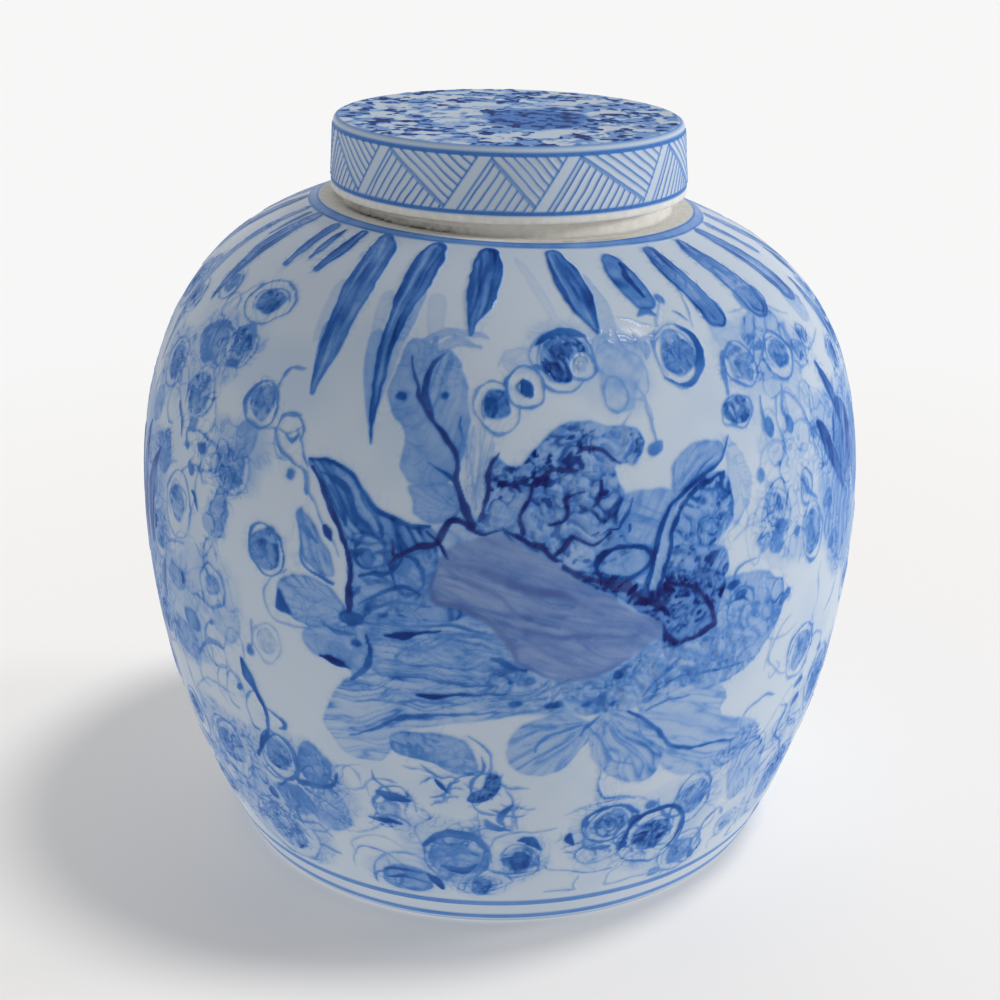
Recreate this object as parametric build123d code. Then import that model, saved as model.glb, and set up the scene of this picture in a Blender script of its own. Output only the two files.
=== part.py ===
from build123d import *
from math import cos, radians, sin, sqrt
import os

# Ginger jar: one hollow fired jar, and the flat lid that drops over its neck.
# Millimetres, +Z up. The origin is the centre of the foot, on the surface the jar stands on.
# Each profile below is drawn as radius against height, and turned about an upright axis.

# Outside of the jar
belly_radius = 120.0  # widest ring
belly_height = 116.0  # height of the widest ring
flank_radius = 253.5  # arc of the wall between the foot and the widest ring
shoulder_rise = 85.0  # how far the wall's upright tangent pulls the curve above the widest ring
shoulder_lead = 15.5  # how far the slope beside the ledge pulls the curve outwards
shoulder_slope = 30.0  # degrees, beside the ledge
ledge_radius = 60.4  # outer edge of the flat bare ledge around the neck
ledge_height = 214.4

# Inside of the jar
wall = 6.0
floor_height = 13.0
floor_round = 14.0
ceiling_height = 209.5  # under the ledge, beside the mouth
ceiling_rise = 80.0  # the same three pulls as the outside's shoulder
ceiling_lead = 34.0
ceiling_slope = 17.0

# Foot: a ring around a shallow recess
foot_ring_width = 8.0
foot_recess = 5.0
foot_round = 1.2

# Neck: it stands a little off the belly's axis, and draws in towards its rim
neck_offset = 2.0
neck_foot_radius = 53.2
neck_rim_radius = 51.6
neck_foot_round = 1.0
mouth_radius = 45.6
rim_round = 1.6

# Lid: it sits on the neck's rim, a little to one side of the neck's axis, which its loose fit allows
lid_offset = 2.9
lid_top = 241.4
lid_bottom = 218.8
lid_top_radius = 56.0
lid_rim_radius = 57.5
lid_edge_round = 2.0
lid_rim_round = 1.2
lid_roof = 3.4  # thickness over the mouth
skirt_roof_radius = 53.4  # inside of the skirt, at the roof
skirt_rim_radius = 54.8  # inside of the skirt, at the rim
skirt_corner_round = 1.0
seat_gap = 0.05  # between the neck's rim and the lid's roof, so that the two touch without biting

# Worked out from the above
foot_radius = belly_radius - flank_radius + sqrt(flank_radius**2 - belly_height**2)
roof_height = lid_top - lid_roof
rim_height = roof_height - seat_gap


def turned(outline, offset=0.0):
    """The solid swept by a closed outline about an upright axis, which is offset along X."""
    return Pos(offset, 0, 0) * revolve(Plane.XZ * make_face(outline), Axis.Z)


def disc(radius, low, high, offset=0.0):
    """A solid cylinder between two heights."""
    return Pos(offset, 0, (low + high) / 2) * Cylinder(radius, high - low)


def rings(solid, height, radius):
    """The round edges of a solid at a height, of a radius."""
    round_edges = solid.edges().filter_by(GeomType.CIRCLE)
    return [e for e in round_edges if abs(e.center().Z - height) < 0.01 and abs(e.radius - radius) < 0.01]


def on_flank(height, inset=0.0):
    """The point at a height on the arc of the lower wall, or on the arc that lies inset inside it."""
    reach = sqrt((flank_radius - inset) ** 2 - (belly_height - height) ** 2)
    return (belly_radius - flank_radius + reach, height)


def flank(low, inset=0.0):
    """The arc from a height up to the widest ring."""
    middle = (low + belly_height) / 2
    return ThreePointArc(on_flank(low, inset), on_flank(middle, inset), on_flank(belly_height, inset))


def shoulder(end, rise, lead, slope, inset=0.0):
    """The curve from the widest ring to an end point: upright at its start, and at the slope at its end."""
    start = (belly_radius - inset, belly_height)
    upright = (start[0], belly_height + rise)
    sloping = (end[0] + lead * cos(radians(slope)), end[1] - lead * sin(radians(slope)))
    return Bezier(start, upright, sloping, end)


def make_belly():
    """The jar's outside up to the ledge, filled."""
    ledge_edge = (ledge_radius, ledge_height)
    outline = flank(0) + shoulder(ledge_edge, shoulder_rise, shoulder_lead, shoulder_slope)
    outline += Polyline(ledge_edge, (0, ledge_height), (0, 0), on_flank(0))
    return turned(outline)


def make_neck():
    """The neck's outside, filled, and sunk into the ledge by the thickness of the wall."""
    sunk = ledge_height - wall
    corners = [(0, sunk), (neck_foot_radius, sunk), (neck_foot_radius, ledge_height)]
    corners += [(neck_rim_radius, rim_height), (0, rim_height), (0, sunk)]
    return turned(Polyline(*corners), neck_offset)


def make_hollow():
    """The space inside the belly, with a rounded floor corner."""
    end = (mouth_radius - neck_offset, ceiling_height)
    outline = flank(floor_height, wall) + shoulder(end, ceiling_rise, ceiling_lead, ceiling_slope, wall)
    outline += Polyline(end, (0, ceiling_height), (0, floor_height), on_flank(floor_height, wall))
    hollow = turned(outline)
    floor_corner = rings(hollow, floor_height, on_flank(floor_height, wall)[0])
    return fillet(floor_corner, floor_round)


def make_jar():
    jar = make_belly() + make_neck()
    jar = fillet(rings(jar, ledge_height, neck_foot_radius), neck_foot_round)
    jar -= make_hollow()
    jar -= disc(mouth_radius, ceiling_height - wall, rim_height, neck_offset)
    jar -= disc(foot_radius - foot_ring_width, 0, foot_recess)
    jar = fillet(rings(jar, rim_height, neck_rim_radius) + rings(jar, rim_height, mouth_radius), rim_round)
    foot_edges = rings(jar, 0, foot_radius) + rings(jar, 0, foot_radius - foot_ring_width)
    return fillet(foot_edges, foot_round)


def make_lid():
    """The lid: a flat roof, and a skirt that flares slightly towards its rim."""
    corners = [(0, lid_top), (lid_top_radius, lid_top), (lid_rim_radius, lid_bottom)]
    corners += [(skirt_rim_radius, lid_bottom), (skirt_roof_radius, roof_height), (0, roof_height), (0, lid_top)]
    lid = turned(Polyline(*corners), lid_offset)
    lid = fillet(rings(lid, lid_top, lid_top_radius), lid_edge_round)
    lid = fillet(rings(lid, roof_height, skirt_roof_radius), skirt_corner_round)
    rim = rings(lid, lid_bottom, lid_rim_radius) + rings(lid, lid_bottom, skirt_rim_radius)
    return fillet(rim, lid_rim_round)


os.makedirs("parts", exist_ok=True)
pieces = {"jar_body": make_jar(), "lid": make_lid()}
for name, piece in pieces.items():
    piece.label = name
    export_step(piece, f"parts/{name}.step")
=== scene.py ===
from math import ceil, cos, floor, hypot, pi, radians, sin, sqrt, tan

import bpy
import numpy as np
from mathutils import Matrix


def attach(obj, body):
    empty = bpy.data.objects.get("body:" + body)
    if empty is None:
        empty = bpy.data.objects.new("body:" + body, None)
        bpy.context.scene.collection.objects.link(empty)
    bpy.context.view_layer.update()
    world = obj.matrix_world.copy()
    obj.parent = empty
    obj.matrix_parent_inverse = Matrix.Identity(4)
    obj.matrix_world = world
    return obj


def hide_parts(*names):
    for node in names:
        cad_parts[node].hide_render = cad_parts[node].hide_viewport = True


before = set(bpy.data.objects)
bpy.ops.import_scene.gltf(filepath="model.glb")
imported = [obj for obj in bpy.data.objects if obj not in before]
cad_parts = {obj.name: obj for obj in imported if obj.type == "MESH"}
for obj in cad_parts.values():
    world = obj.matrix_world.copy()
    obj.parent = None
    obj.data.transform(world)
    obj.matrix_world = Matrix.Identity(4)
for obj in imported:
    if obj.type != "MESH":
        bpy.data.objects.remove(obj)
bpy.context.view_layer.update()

# Ginger jar: a hollow porcelain jar and its flat lid, each one closed mesh that stands for its CAD node.
# The cobalt painting is laid on the jar's wall as an amount of pigment at each point of a fine grid, and it
# stands off the wall a little. Sizes are in millimetres until a mesh is made. An angle is in degrees around
# the jar, 0 at the front and growing to the right, and an arc is the length up the wall from the foot.

MM = 0.001

# Outside of the jar, as in the CAD model
belly_radius = 120.0
belly_height = 116.0
flank_radius = 253.5
shoulder_rise = 85.0
shoulder_lead = 15.5
shoulder_slope = 30.0
ledge_radius = 60.4
ledge_height = 214.4
wall = 6.0
floor_height = 13.0
floor_round = 14.0
ceiling_height = 209.5
ceiling_rise = 80.0
ceiling_lead = 34.0
ceiling_slope = 17.0
ceiling_start = 6.0  # the flat beside the mouth before the ceiling curves down
foot_ring_width = 8.0
foot_recess = 5.0
foot_round = 1.2
neck_offset = 2.0
neck_foot_radius = 53.2
neck_rim_radius = 51.6
neck_foot_round = 1.0
mouth_radius = 45.6
rim_height = 237.95
rim_round = 1.6

# The lid, as in the CAD model
lid_offset = 2.9
lid_top = 241.4
lid_bottom = 218.8
lid_top_radius = 56.0
lid_rim_radius = 57.5
lid_edge_round = 2.0
lid_rim_round = 1.2
lid_roof = 3.4
skirt_roof_radius = 53.4
skirt_rim_radius = 54.8
skirt_corner_round = 1.0
lid_rim_middle = ((skirt_rim_radius + lid_rim_radius) / 2, lid_bottom)

# Painting on the lid's side: two level lines, and slanting bars between them with hatching on both slopes
lid_glaze_edge = 221.2  # bare clay below this height
lid_line_low = 222.0
lid_line_high = 239.0
bar_tops = [-172, -139, -106, -73, -41, -7, 20, 58, 91, 123, 156]
bar_lead = 11.5  # degrees that a bar leans over
bar_half = 2.0
hatch_spacing = 2.45

# What throwing and firing left out of true, within the CAD sizes
shoulder_lean = 2.66  # degrees, of the ledge, left side up
lean_from = 150.0  # arc where the shoulder begins to lean
lid_lean = 1.15  # degrees, of the lid's outside, left side up

grid_step = 0.42
plain_step = 3.0  # between points where nothing is painted
paint_height = 0.38  # how far the darkest painting stands off the wall


# ---------------------------------------------------------------- noise and curves


def corner_value(x, y, z, seed):
    """A repeatable number from 0 to 1 for each whole-number corner."""
    x, y, z = (np.asarray(v, np.int64) for v in (x, y, z))
    h = (x * 374761393 + y * 668265263 + z * 1440662683 + seed * 1274126177) & 0xFFFFFFFF
    h = ((h ^ (h >> 13)) * 1274126177) & 0xFFFFFFFF
    h = ((h ^ (h >> 15)) * 2246822519) & 0xFFFFFFFF
    return ((h >> 8) & 0xFFFF) / 65535.0


def noise(points, size, seed=0):
    """Smooth noise from 0 to 1, with lumps of a size."""
    q = points / size
    cell = np.floor(q)
    f = q - cell
    f = f * f * (3 - 2 * f)
    cell = cell.astype(np.int64)
    total = 0.0
    for i in (0, 1):
        for j in (0, 1):
            for k in (0, 1):
                weight = abs(1 - i - f[..., 0]) * abs(1 - j - f[..., 1]) * abs(1 - k - f[..., 2])
                corner = (cell[..., 0] + i, cell[..., 1] + j, cell[..., 2] + k)
                total = total + weight * corner_value(*corner, seed)
    return total


def cloud(points, size, octaves=3, seed=0):
    """Noise from 0 to 1 with finer lumps on the coarse ones."""
    total, share, whole = 0.0, 1.0, 0.0
    for octave in range(octaves):
        total = total + share * noise(points, size / 2**octave, seed + 17 * octave)
        whole += share
        share *= 0.55
    return total / whole


def smooth_step(x):
    """A ramp from 0 at 0 to 1 at 1, level at both ends."""
    x = np.clip(x, 0, 1)
    return x * x * (3 - 2 * x)


def through(points, closed=False, step=1.3):
    """A smooth line through points, as short straight runs."""
    p = np.array(points, float)
    p = np.vstack([p[-1], p, p[:2]]) if closed else np.vstack([2 * p[0] - p[1], p, 2 * p[-1] - p[-2]])
    out = []
    for a, b, c, d in zip(p[:-3], p[1:-2], p[2:-1], p[3:]):
        count = max(2, ceil(hypot(*(c - b)[:2]) / step))
        t = np.arange(count)[:, None] / count
        out.append(b + 0.5 * t * (c - a + t * (2 * a - 5 * b + 4 * c - d + t * (3 * (b - c) + d - a))))
    return np.vstack(out + [p[-2:-1]])


# ---------------------------------------------------------------- the jar's wall


def on_flank(height, inset=0.0):
    """The lower wall's radius at a height."""
    return belly_radius - flank_radius + sqrt((flank_radius - inset) ** 2 - (belly_height - height) ** 2)


def flank(low, inset=0.0, count=60):
    """Radius and height up the lower wall."""
    return [(on_flank(z, inset), z) for z in np.linspace(low, belly_height, count)]


def shoulder(end, rise, lead, slope, inset=0.0, count=90):
    """Radius and height from the widest ring to an end point."""
    start = np.array((belly_radius - inset, belly_height))
    upright = start + (0, rise)
    end = np.array(end)
    sloping = end + (lead * cos(radians(slope)), -lead * sin(radians(slope)))
    t = np.linspace(0, 1, count)[:, None]
    return (1 - t) ** 3 * start + 3 * (1 - t) ** 2 * t * upright + 3 * (1 - t) * t**2 * sloping + t**3 * end


def outer_wall():
    """Radius and height along the painted wall, at equal steps of arc."""
    curve = shoulder((ledge_radius, ledge_height), shoulder_rise, shoulder_lead, shoulder_slope, count=900)
    line = np.vstack([flank(0, count=600), curve[1:]])
    arcs = np.concatenate([[0], np.cumsum(np.hypot(*np.diff(line, axis=0).T))])
    return line, arcs


wall_line, wall_arcs = outer_wall()
wall_length = wall_arcs[-1]
columns = 8 * round(2 * pi * belly_radius / grid_step / 8)
arc = np.arange(foot_round, wall_length, grid_step)
arc[-1] = wall_length
angle = np.arange(columns) * 360 / columns - 180
radius = np.interp(arc, wall_arcs, wall_line[:, 0])
height = np.interp(arc, wall_arcs, wall_line[:, 1])
mm_per_degree = radius * pi / 180


def around(radii, heights, angles):
    """Points on rings about the upright axis, one row for each ring."""
    a = np.radians(angles)[None, :]
    r, z = np.asarray(radii)[:, None], np.asarray(heights)[:, None]
    return np.stack([r * np.sin(a), -r * np.cos(a), z + 0 * a], -1)


wall_points = around(radius, height, angle)
ink = np.zeros(wall_points.shape[:2])
violet = np.zeros_like(ink)
press = np.zeros_like(ink)


class Patch:
    """The part of the wall around a motif, with x and y in millimetres from its middle."""

    def __init__(self, line, reach):
        line = np.array(line, float)
        line[:, 0] += turn
        self.angle, self.arc = line[:, 0].mean(), line[:, 1].mean()
        scale = np.interp(line[:, 1], arc, mm_per_degree)
        self.line = line.copy()
        self.line[:, 0] = (line[:, 0] - self.angle) * scale
        self.line[:, 1] = line[:, 1] - self.arc
        rows = np.nonzero((arc > line[:, 1].min() - reach) & (arc < line[:, 1].max() + reach))[0]
        spare = reach / mm_per_degree[rows].min() if len(rows) else 0
        low, high = line[:, 0].min() - spare, line[:, 0].max() + spare
        cols = np.arange(floor((low + 180) * columns / 360), ceil((high + 180) * columns / 360) + 1)
        self.at = np.ix_(rows, cols % columns)
        self.x = (cols * 360 / columns - 180 - self.angle)[None, :] * mm_per_degree[rows][:, None]
        self.y = (arc[rows] - self.arc)[:, None] + 0 * self.x
        self.points = wall_points[self.at]

    def plane(self, x_size, y_size, seed):
        """Flat coordinates for noise that is stretched along the wall."""
        return np.stack([self.x / x_size, self.y / y_size, 0 * self.x + 7.3 * seed], -1)

    def lay(self, cover, density, tone=0.0):
        """Pigment over what is there, where it is darker."""
        old = ink[self.at]
        ink[self.at] = np.maximum(old, old + cover * (density - old))
        if np.any(tone):
            violet[self.at] = np.maximum(violet[self.at], cover * tone)

    def clear(self, cover, density=0.0):
        """Takes pigment away, down to a density."""
        old = ink[self.at]
        ink[self.at] = np.minimum(old, old + cover * (density - old))
        violet[self.at] *= 1 - cover


def nearest(x, y, line):
    """Distance to a line of straight runs, how far along it the nearest point is, and the side, 1 or -1."""
    best = np.full(x.shape, 1e9)
    along = np.zeros_like(best)
    side = np.zeros_like(best)
    start = 0.0
    for (ax, ay), (bx, by) in zip(line[:-1, :2], line[1:, :2]):
        dx, dy = bx - ax, by - ay
        length = max(hypot(dx, dy), 1e-9)
        t = np.clip(((x - ax) * dx + (y - ay) * dy) / length**2, 0, 1)
        ex, ey = x - ax - t * dx, y - ay - t * dy
        d = ex * ex + ey * ey
        closer = d < best
        best = np.where(closer, d, best)
        along = np.where(closer, start + t * length, along)
        side = np.where(closer, np.where(dx * ey > dy * ex, 1.0, -1.0), side)
        start += length
    return np.sqrt(best), along / max(start, 1e-9), side


def inside(x, y, line):
    """True where a point is within a closed line."""
    found = np.zeros(x.shape, bool)
    for (ax, ay), (bx, by) in zip(line[:-1, :2], line[1:, :2]):
        if ay != by:
            found ^= ((ay > y) != (by > y)) & (x < (bx - ax) * (y - ay) / (by - ay) + ax)
    return found


# ---------------------------------------------------------------- brushwork

turn = 0.0  # degrees that the motifs are carried around the jar
brush_count = 0  # seeds the noise of each brush mark
edge_soft = 0.45  # millimetres over which a brush mark fades out at its edge
pooled_edge = 0.7  # width of the darker rim where a wash has pooled


def next_seed():
    """The number of the next brush mark, which its unevenness is drawn from."""
    global brush_count
    brush_count += 1
    return brush_count


def stroke(points, widths, density, pool=0.15, streak=0.0, tone=0.0, soft=edge_soft, shake=0.7):
    """One pull of the brush, with its width at each point, in a hand that shakes a little."""
    seed = next_seed()
    line = np.column_stack([np.array(points, float), np.broadcast_to(widths, len(points))])
    patch = Patch(line, max(np.atleast_1d(widths)) / 2 + 2)
    dense = through(patch.line)
    shaken = [2 * shake * (cloud(patch.points, 6, 2, seed + k) - 0.5) * 1.4 for k in (7, 8)]
    distance, along, side = nearest(patch.x + shaken[0], patch.y + shaken[1], dense)
    spots = np.concatenate([[0], np.cumsum(np.hypot(*np.diff(dense[:, :2], axis=0).T))])
    width = np.maximum(np.interp(along, spots / spots[-1], dense[:, 2]), 0)
    uneven = noise(patch.points, 2.6, seed) - 0.5
    depth = width / 2 - distance + uneven * np.minimum(0.9 * width / 2, 0.7)
    shade = pool * np.exp(-np.maximum(depth, 0) / 0.6) + 0.3 * (noise(patch.points, 8, seed + 4) - 0.5)
    if streak:
        grain = np.stack([side * distance / 1.1, along * spots[-1] / 16, 0 * along + seed], -1)
        shade = shade + streak * (cloud(grain, 1.0, 2, seed) - 0.55) * 2 * smooth_step(depth / 1.5)
    patch.lay(smooth_step(depth / soft + 0.5), density + shade, tone)


def fine_line(points, width, density):
    """A thin line that tapers at both ends."""
    widths = [width * (0.45 if i in (0, len(points) - 1) else 1) for i in range(len(points))]
    stroke(points, widths, density, 0.05)


def depth_within(patch):
    """How far each point of a patch is inside its closed line, in millimetres, and negative outside."""
    line = through(patch.line, closed=True)
    distance, _, _ = nearest(patch.x, patch.y, line)
    return np.where(inside(patch.x, patch.y, line), distance, -distance)


def area(points, density, edge=0.2, fill=None, tone=0.0, soft=1.1, wobble=1.0):
    """A wash inside a closed outline, with a darker edge and its own texture."""
    seed = next_seed()
    patch = Patch(points, 3)
    depth = depth_within(patch) + wobble * (cloud(patch.points, 5, 2, seed) - 0.5) * 2
    shade = edge * np.exp(-((np.maximum(depth, 0) / pooled_edge) ** 2))
    shade = shade + 0.1 * (cloud(patch.points, 9, 2, seed + 3) - 0.5)
    if fill is not None:
        shade = shade + fill(patch, depth, seed)
    patch.lay(smooth_step(depth / soft + 0.5), density + shade, tone)
    return patch, depth


def mottled(depth, size=3.0):
    """Blotches of thicker pigment."""
    return lambda patch, inner, seed: depth * 2 * (cloud(patch.points, size, 3, seed) - 0.5)


def crinkled(depth, size=5.0, flecks=0.0):
    """A maze of thin dark creases between raised lumps, with pits here and there, and painted shade on one
    side of each lump.
    """

    def fill(patch, inner, seed):
        bend = np.stack([noise(patch.points, size * 1.4, seed + k) for k in (1, 2, 3)], -1) - 0.5
        bent = patch.points + 1.6 * size * bend
        lumps = cloud(bent, size, 3, seed)
        # beside and under paint shade on the side of each lump where the noise rises towards +X and downward
        beside = cloud(bent + (0.9, 0, -0.9), size, 3, seed)
        where = smooth_step(cloud(patch.points, size * 2.2, 2, seed + 9) * 2 - 0.5)
        crease = np.exp(-(((lumps - 0.5) / (0.035 + 0.03 * where)) ** 2))
        pits = smooth_step((0.39 - cloud(bent, size * 0.5, 2, seed + 21)) / 0.06)
        under = smooth_step((beside - lumps) * 8 - 0.2)
        marks = np.maximum(crease * (0.2 + 0.8 * where), pits * (0.35 + (0.6 + flecks) * where))
        # marks are dark pigment; under adds painted shade on one side of each lump
        shade = depth * (marks + 0.35 * under - 0.12)
        cover = smooth_step(inner / 1.5)
        raised = np.minimum(abs(lumps - 0.5) * 7, 1) - 0.55 - 0.6 * pits
        press[patch.at] += cover * min(depth, 0.42) * raised
        if depth > 0.5:
            violet[patch.at] = np.maximum(violet[patch.at], 0.34 * cover * marks)
        return shade

    return fill


def streaks(across, along, run, fine, seed):
    """Long thin marks that run along a direction, from 0 to 1."""
    lay = np.stack([across, along / run, 0 * along + 5.7 * seed], -1)
    marks = (1 - abs(2 * cloud(lay, fine, 2, seed) - 1)) ** 6
    return marks * (0.5 + 1.1 * noise(lay, fine * 4, seed + 5))


def rayed(apex, count, depth=0.2):
    """Thin lines that run out from a point."""

    def fill(patch, inner, seed):
        scale = np.interp(apex[1], arc, mm_per_degree)
        x = patch.x - (turn + apex[0] - patch.angle) * scale
        y = patch.y - (apex[1] - patch.arc)
        bend = (cloud(patch.points, 12, 2, seed) - 0.5) * 0.8
        around_apex = np.arctan2(y, x) / (2 * pi) * count + 3 * bend
        marks = streaks(around_apex * 1.6, np.hypot(x, y), 14, 1.0, seed)
        return depth * 1.7 * (marks - 0.24)

    return fill


def grained(slope, spacing=2.3, depth=0.2, wave=2.2):
    """Thin wavy lines that run side by side, at an angle to the level."""

    def fill(patch, inner, seed):
        c, d = cos(radians(slope)), sin(radians(slope))
        across = patch.y * c - patch.x * d + wave * 3 * (cloud(patch.points, 14, 2, seed) - 0.5)
        along = patch.x * c + patch.y * d
        marks = streaks(across, along, 9, spacing * 0.8, seed)
        return depth * 1.7 * (marks - 0.24)

    return fill


def layered(patch, inner, seed):
    """Soft, nearly level drifts."""
    drift = patch.plane(30, 4.0, seed)
    drift[..., 1] += patch.x / 10 + 2.2 * noise(patch.points, 22, seed)
    across = 0.9 * patch.y + 0.42 * patch.x + 5 * noise(patch.points, 16, seed + 2)
    grain = streaks(across, patch.x, 8, 1.3, seed)
    return 0.4 * (cloud(drift, 1, 3, seed) - 0.5) + 0.11 * (grain - 0.3)


def oval(middle, half_width, half_height, tilt=0.0, wobble=0.07):
    """A hand-drawn closed curve around a middle point, through ten points."""
    seed = next_seed()
    scale = np.interp(middle[1], arc, mm_per_degree)
    out = []
    for i in range(10):
        a = 2 * pi * i / 10
        size = 1 + wobble * (2 * corner_value([i], [seed], [3], 5)[0] - 1)
        x, y = size * half_width * cos(a), size * half_height * sin(a)
        c, s = cos(radians(tilt)), sin(radians(tilt))
        out.append((middle[0] + (x * c - y * s) / scale, middle[1] + x * s + y * c))
    return out


def ring(middle, half_width, half_height, density, width=0.8, tilt=0.0, gap=0.0, wobble=0.07):
    """An outlined oval. A gap leaves part of it undrawn."""
    points = oval(middle, half_width, half_height, tilt, wobble)
    points = points[: len(points) - round(gap * len(points))] if gap else points + points[:2]
    widths = [width * (0.7 + 0.6 * (i % 3 == 1)) for i in range(len(points))]
    stroke(points, widths, density)


def roundel(x, y, half_width, half_height, density, core=0.62, tilt=0.0, outline=0.45, texture=0.22):
    """A berry or bud: a thin outline, a pale rim, and a mottled heart with a heavier side."""
    middle = (x, y)
    patch = Patch(oval(middle, half_width, half_height, tilt), 2)
    seed = next_seed()
    ground = 0.05 + 0.12 * cloud(patch.points, 6, 2, seed)
    patch.clear(smooth_step(depth_within(patch) / edge_soft + 0.5), ground)
    heavy = 2 * pi * corner_value([seed], [1], [4], 7)[0]
    wide, tall = half_width * core, half_height * core
    heart = oval((x, y + 0.04 * half_height), wide, tall, tilt, 0.15)
    area(heart, density * 0.9, 0.16, crinkled(texture * 1.5, 4.0), wobble=0.9)
    scale = np.interp(y, arc, mm_per_degree)
    side = (x + 0.4 * wide * cos(heavy) / scale, y + 0.4 * tall * sin(heavy))
    thick = oval(side, wide * 0.5, tall * 0.5, 90 * sin(heavy), 0.3)
    area(thick, density * 1.15, 0.1, mottled(0.2), wobble=1.4)
    ring(middle, half_width, half_height, outline, 0.9, tilt, 0, 0.09)
    if half_width == half_height:
        again = oval(middle, half_width * 0.93, half_height * 0.93, tilt + 57 * heavy, 0.05)[:4]
        stroke(again, [0.4, 1.3, 1.4, 0.4], outline * 1.15)
    if core < 0.8:
        ring(middle, half_width * (core + 0.1), half_height * (core + 0.09), outline * 0.9, 0.6, tilt, 0.3)


def blot(x, y, half_width, half_height, density, tilt=0.0):
    """A patch of mottled wash."""
    area(oval((x, y), half_width, half_height, tilt, 0.14), density, 0.15, mottled(0.22))


# ---------------------------------------------------------------- the painting


def paint_leaves():
    """The tapered leaves that hang from the shoulder's band."""
    leaves = [
        ([(-75.5, 240), (-75.2, 222), (-75, 200), (-75, 174)], [3, 4.2, 4, 1], 0.5),
        ([(-70, 239), (-69.8, 226)], [2.6, 1.6], 0.6),
        ([(-65.2, 240), (-65, 226), (-64.8, 212), (-64.8, 200)], [5, 7, 6, 1.4], 0.72),
        ([(-52.5, 239), (-52.4, 234), (-51.9, 219.5)], [4.4, 4.4, 2.4], 0.72),
        ([(-47.7, 239), (-47.7, 232), (-47.4, 224.5)], [1.4, 3.4, 1.4], 0.72),
        ([(-41.4, 240.5), (-41.5, 231), (-42.5, 221.8)], [3, 4.6, 2.8], 0.85),
        ([(-33.2, 240), (-31.6, 235), (-30.7, 227), (-30.1, 218), (-29.6, 208), (-29.6, 197), (-30.1, 184.5)],
         [5, 8, 9.6, 9.8, 8.2, 6.6, 1.4], 0.82),
        ([(-18.2, 239), (-18.3, 233), (-18.7, 222), (-19.2, 211), (-19.6, 200), (-19.4, 189), (-19, 173.5)],
         [6.5, 8.8, 8.6, 6, 4.6, 3.2, 0.6], 0.85),
        ([(-4.6, 238.6), (-4.4, 233), (-4.4, 225), (-4.9, 217), (-5.5, 211.5), (-5.7, 206.5)],
         [6.4, 8.7, 9.3, 7.6, 3.2, 0.9], 0.85),
        ([(12.2, 239), (13.1, 232), (14.1, 223), (15, 216), (15.9, 210), (16.3, 207.5)],
         [5.8, 8.4, 9.2, 7, 3.4, 1], 0.92),
        ([(39.9, 238), (39.5, 230), (40.3, 221), (41.0, 213), (41.3, 207.6)], [4.6, 7.4, 8.2, 8.4, 8], 0.82),
        ([(53.4, 238.4), (52.9, 232), (53.5, 224), (54.2, 215), (54.3, 207.6)],
         [3.8, 7.4, 8.8, 10, 10], 0.78),
        ([(68, 239), (68.4, 226), (68.8, 214), (69, 207)], [5, 8, 9.5, 9], 0.78),
        ([(78, 239), (78, 222)], [4, 3], 0.66),
        ([(77, 207), (76.6, 195), (76.8, 183)], [2, 5, 1.4], 0.7),
        ([(90, 239), (90, 224), (90.4, 208)], [5, 7.5, 2], 0.74),
    ]
    for points, widths, density in leaves:
        stroke(points, widths, density - 0.14, 0.34, 0.42, 0.05, 0.6, 0.35)
    area([(26, 239), (23.6, 235.5), (22.8, 230), (24.2, 222), (26, 214.5), (29.4, 215), (30.2, 221),
          (29.8, 229), (28.4, 236.6)], 0.66, 0.3, mottled(0.26, 4))
    stroke([(27.9, 234), (27.2, 227), (28.3, 219)], [0.8, 2, 1], 0.95)
    stroke([(25.4, 212), (27, 213.4), (28.6, 211.4)], [1, 3, 1], 0.6)


def paint_ghosts():
    """The thinned washes that fall from the leaves in steps."""
    ghosts = [
        ([(-35.2, 218), (-32.6, 218), (-31.6, 204), (-33.4, 199)], 0.13),
        ([(-32.6, 204.5), (-30.4, 204), (-29.4, 190), (-30.1, 184), (-31.4, 192)], 0.42),
        ([(-24.2, 217.6), (-21.7, 217.6), (-21.7, 203.6), (-23.2, 203.6)], 0.17),
        ([(-23.2, 203.4), (-20.6, 203.4), (-19.1, 176), (-19.8, 178), (-22.2, 192)], 0.4),
        ([(-17.4, 219), (-15.4, 219), (-16.4, 204), (-18.2, 204)], 0.36),
        ([(-18.4, 203.6), (-16.8, 203.6), (-18.2, 186), (-18.8, 186)], 0.26),
        ([(-14.8, 218.4), (-11.4, 218.4), (-10.6, 204), (-12.6, 203)], 0.12),
        ([(2, 236), (5, 234), (9.9, 212), (8.4, 212)], 0.07),
        ([(17.3, 229), (19.2, 224), (20.4, 214), (19.4, 203), (16.8, 205)], 0.2),
        ([(38.4, 214), (43.6, 214), (43.9, 207), (38.9, 207)], 0.55),
        ([(38.8, 207), (43.7, 207), (43, 197.5), (39.4, 196)], 0.2),
        ([(50.6, 214.4), (58, 214.4), (58, 206.8), (50.6, 206.8)], 0.52),
        ([(50.6, 206.8), (57.6, 206.8), (56.8, 198), (51.4, 198)], 0.24),
        ([(66, 207), (72, 207), (71, 196), (66.6, 195)], 0.24),
        ([(-8.6, 222), (-7.4, 222), (-6, 212), (-7.4, 214)], 0.12),
    ]
    for points, density in ghosts:
        area(points, density, 0.06, wobble=0.3, soft=0.8)


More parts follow.
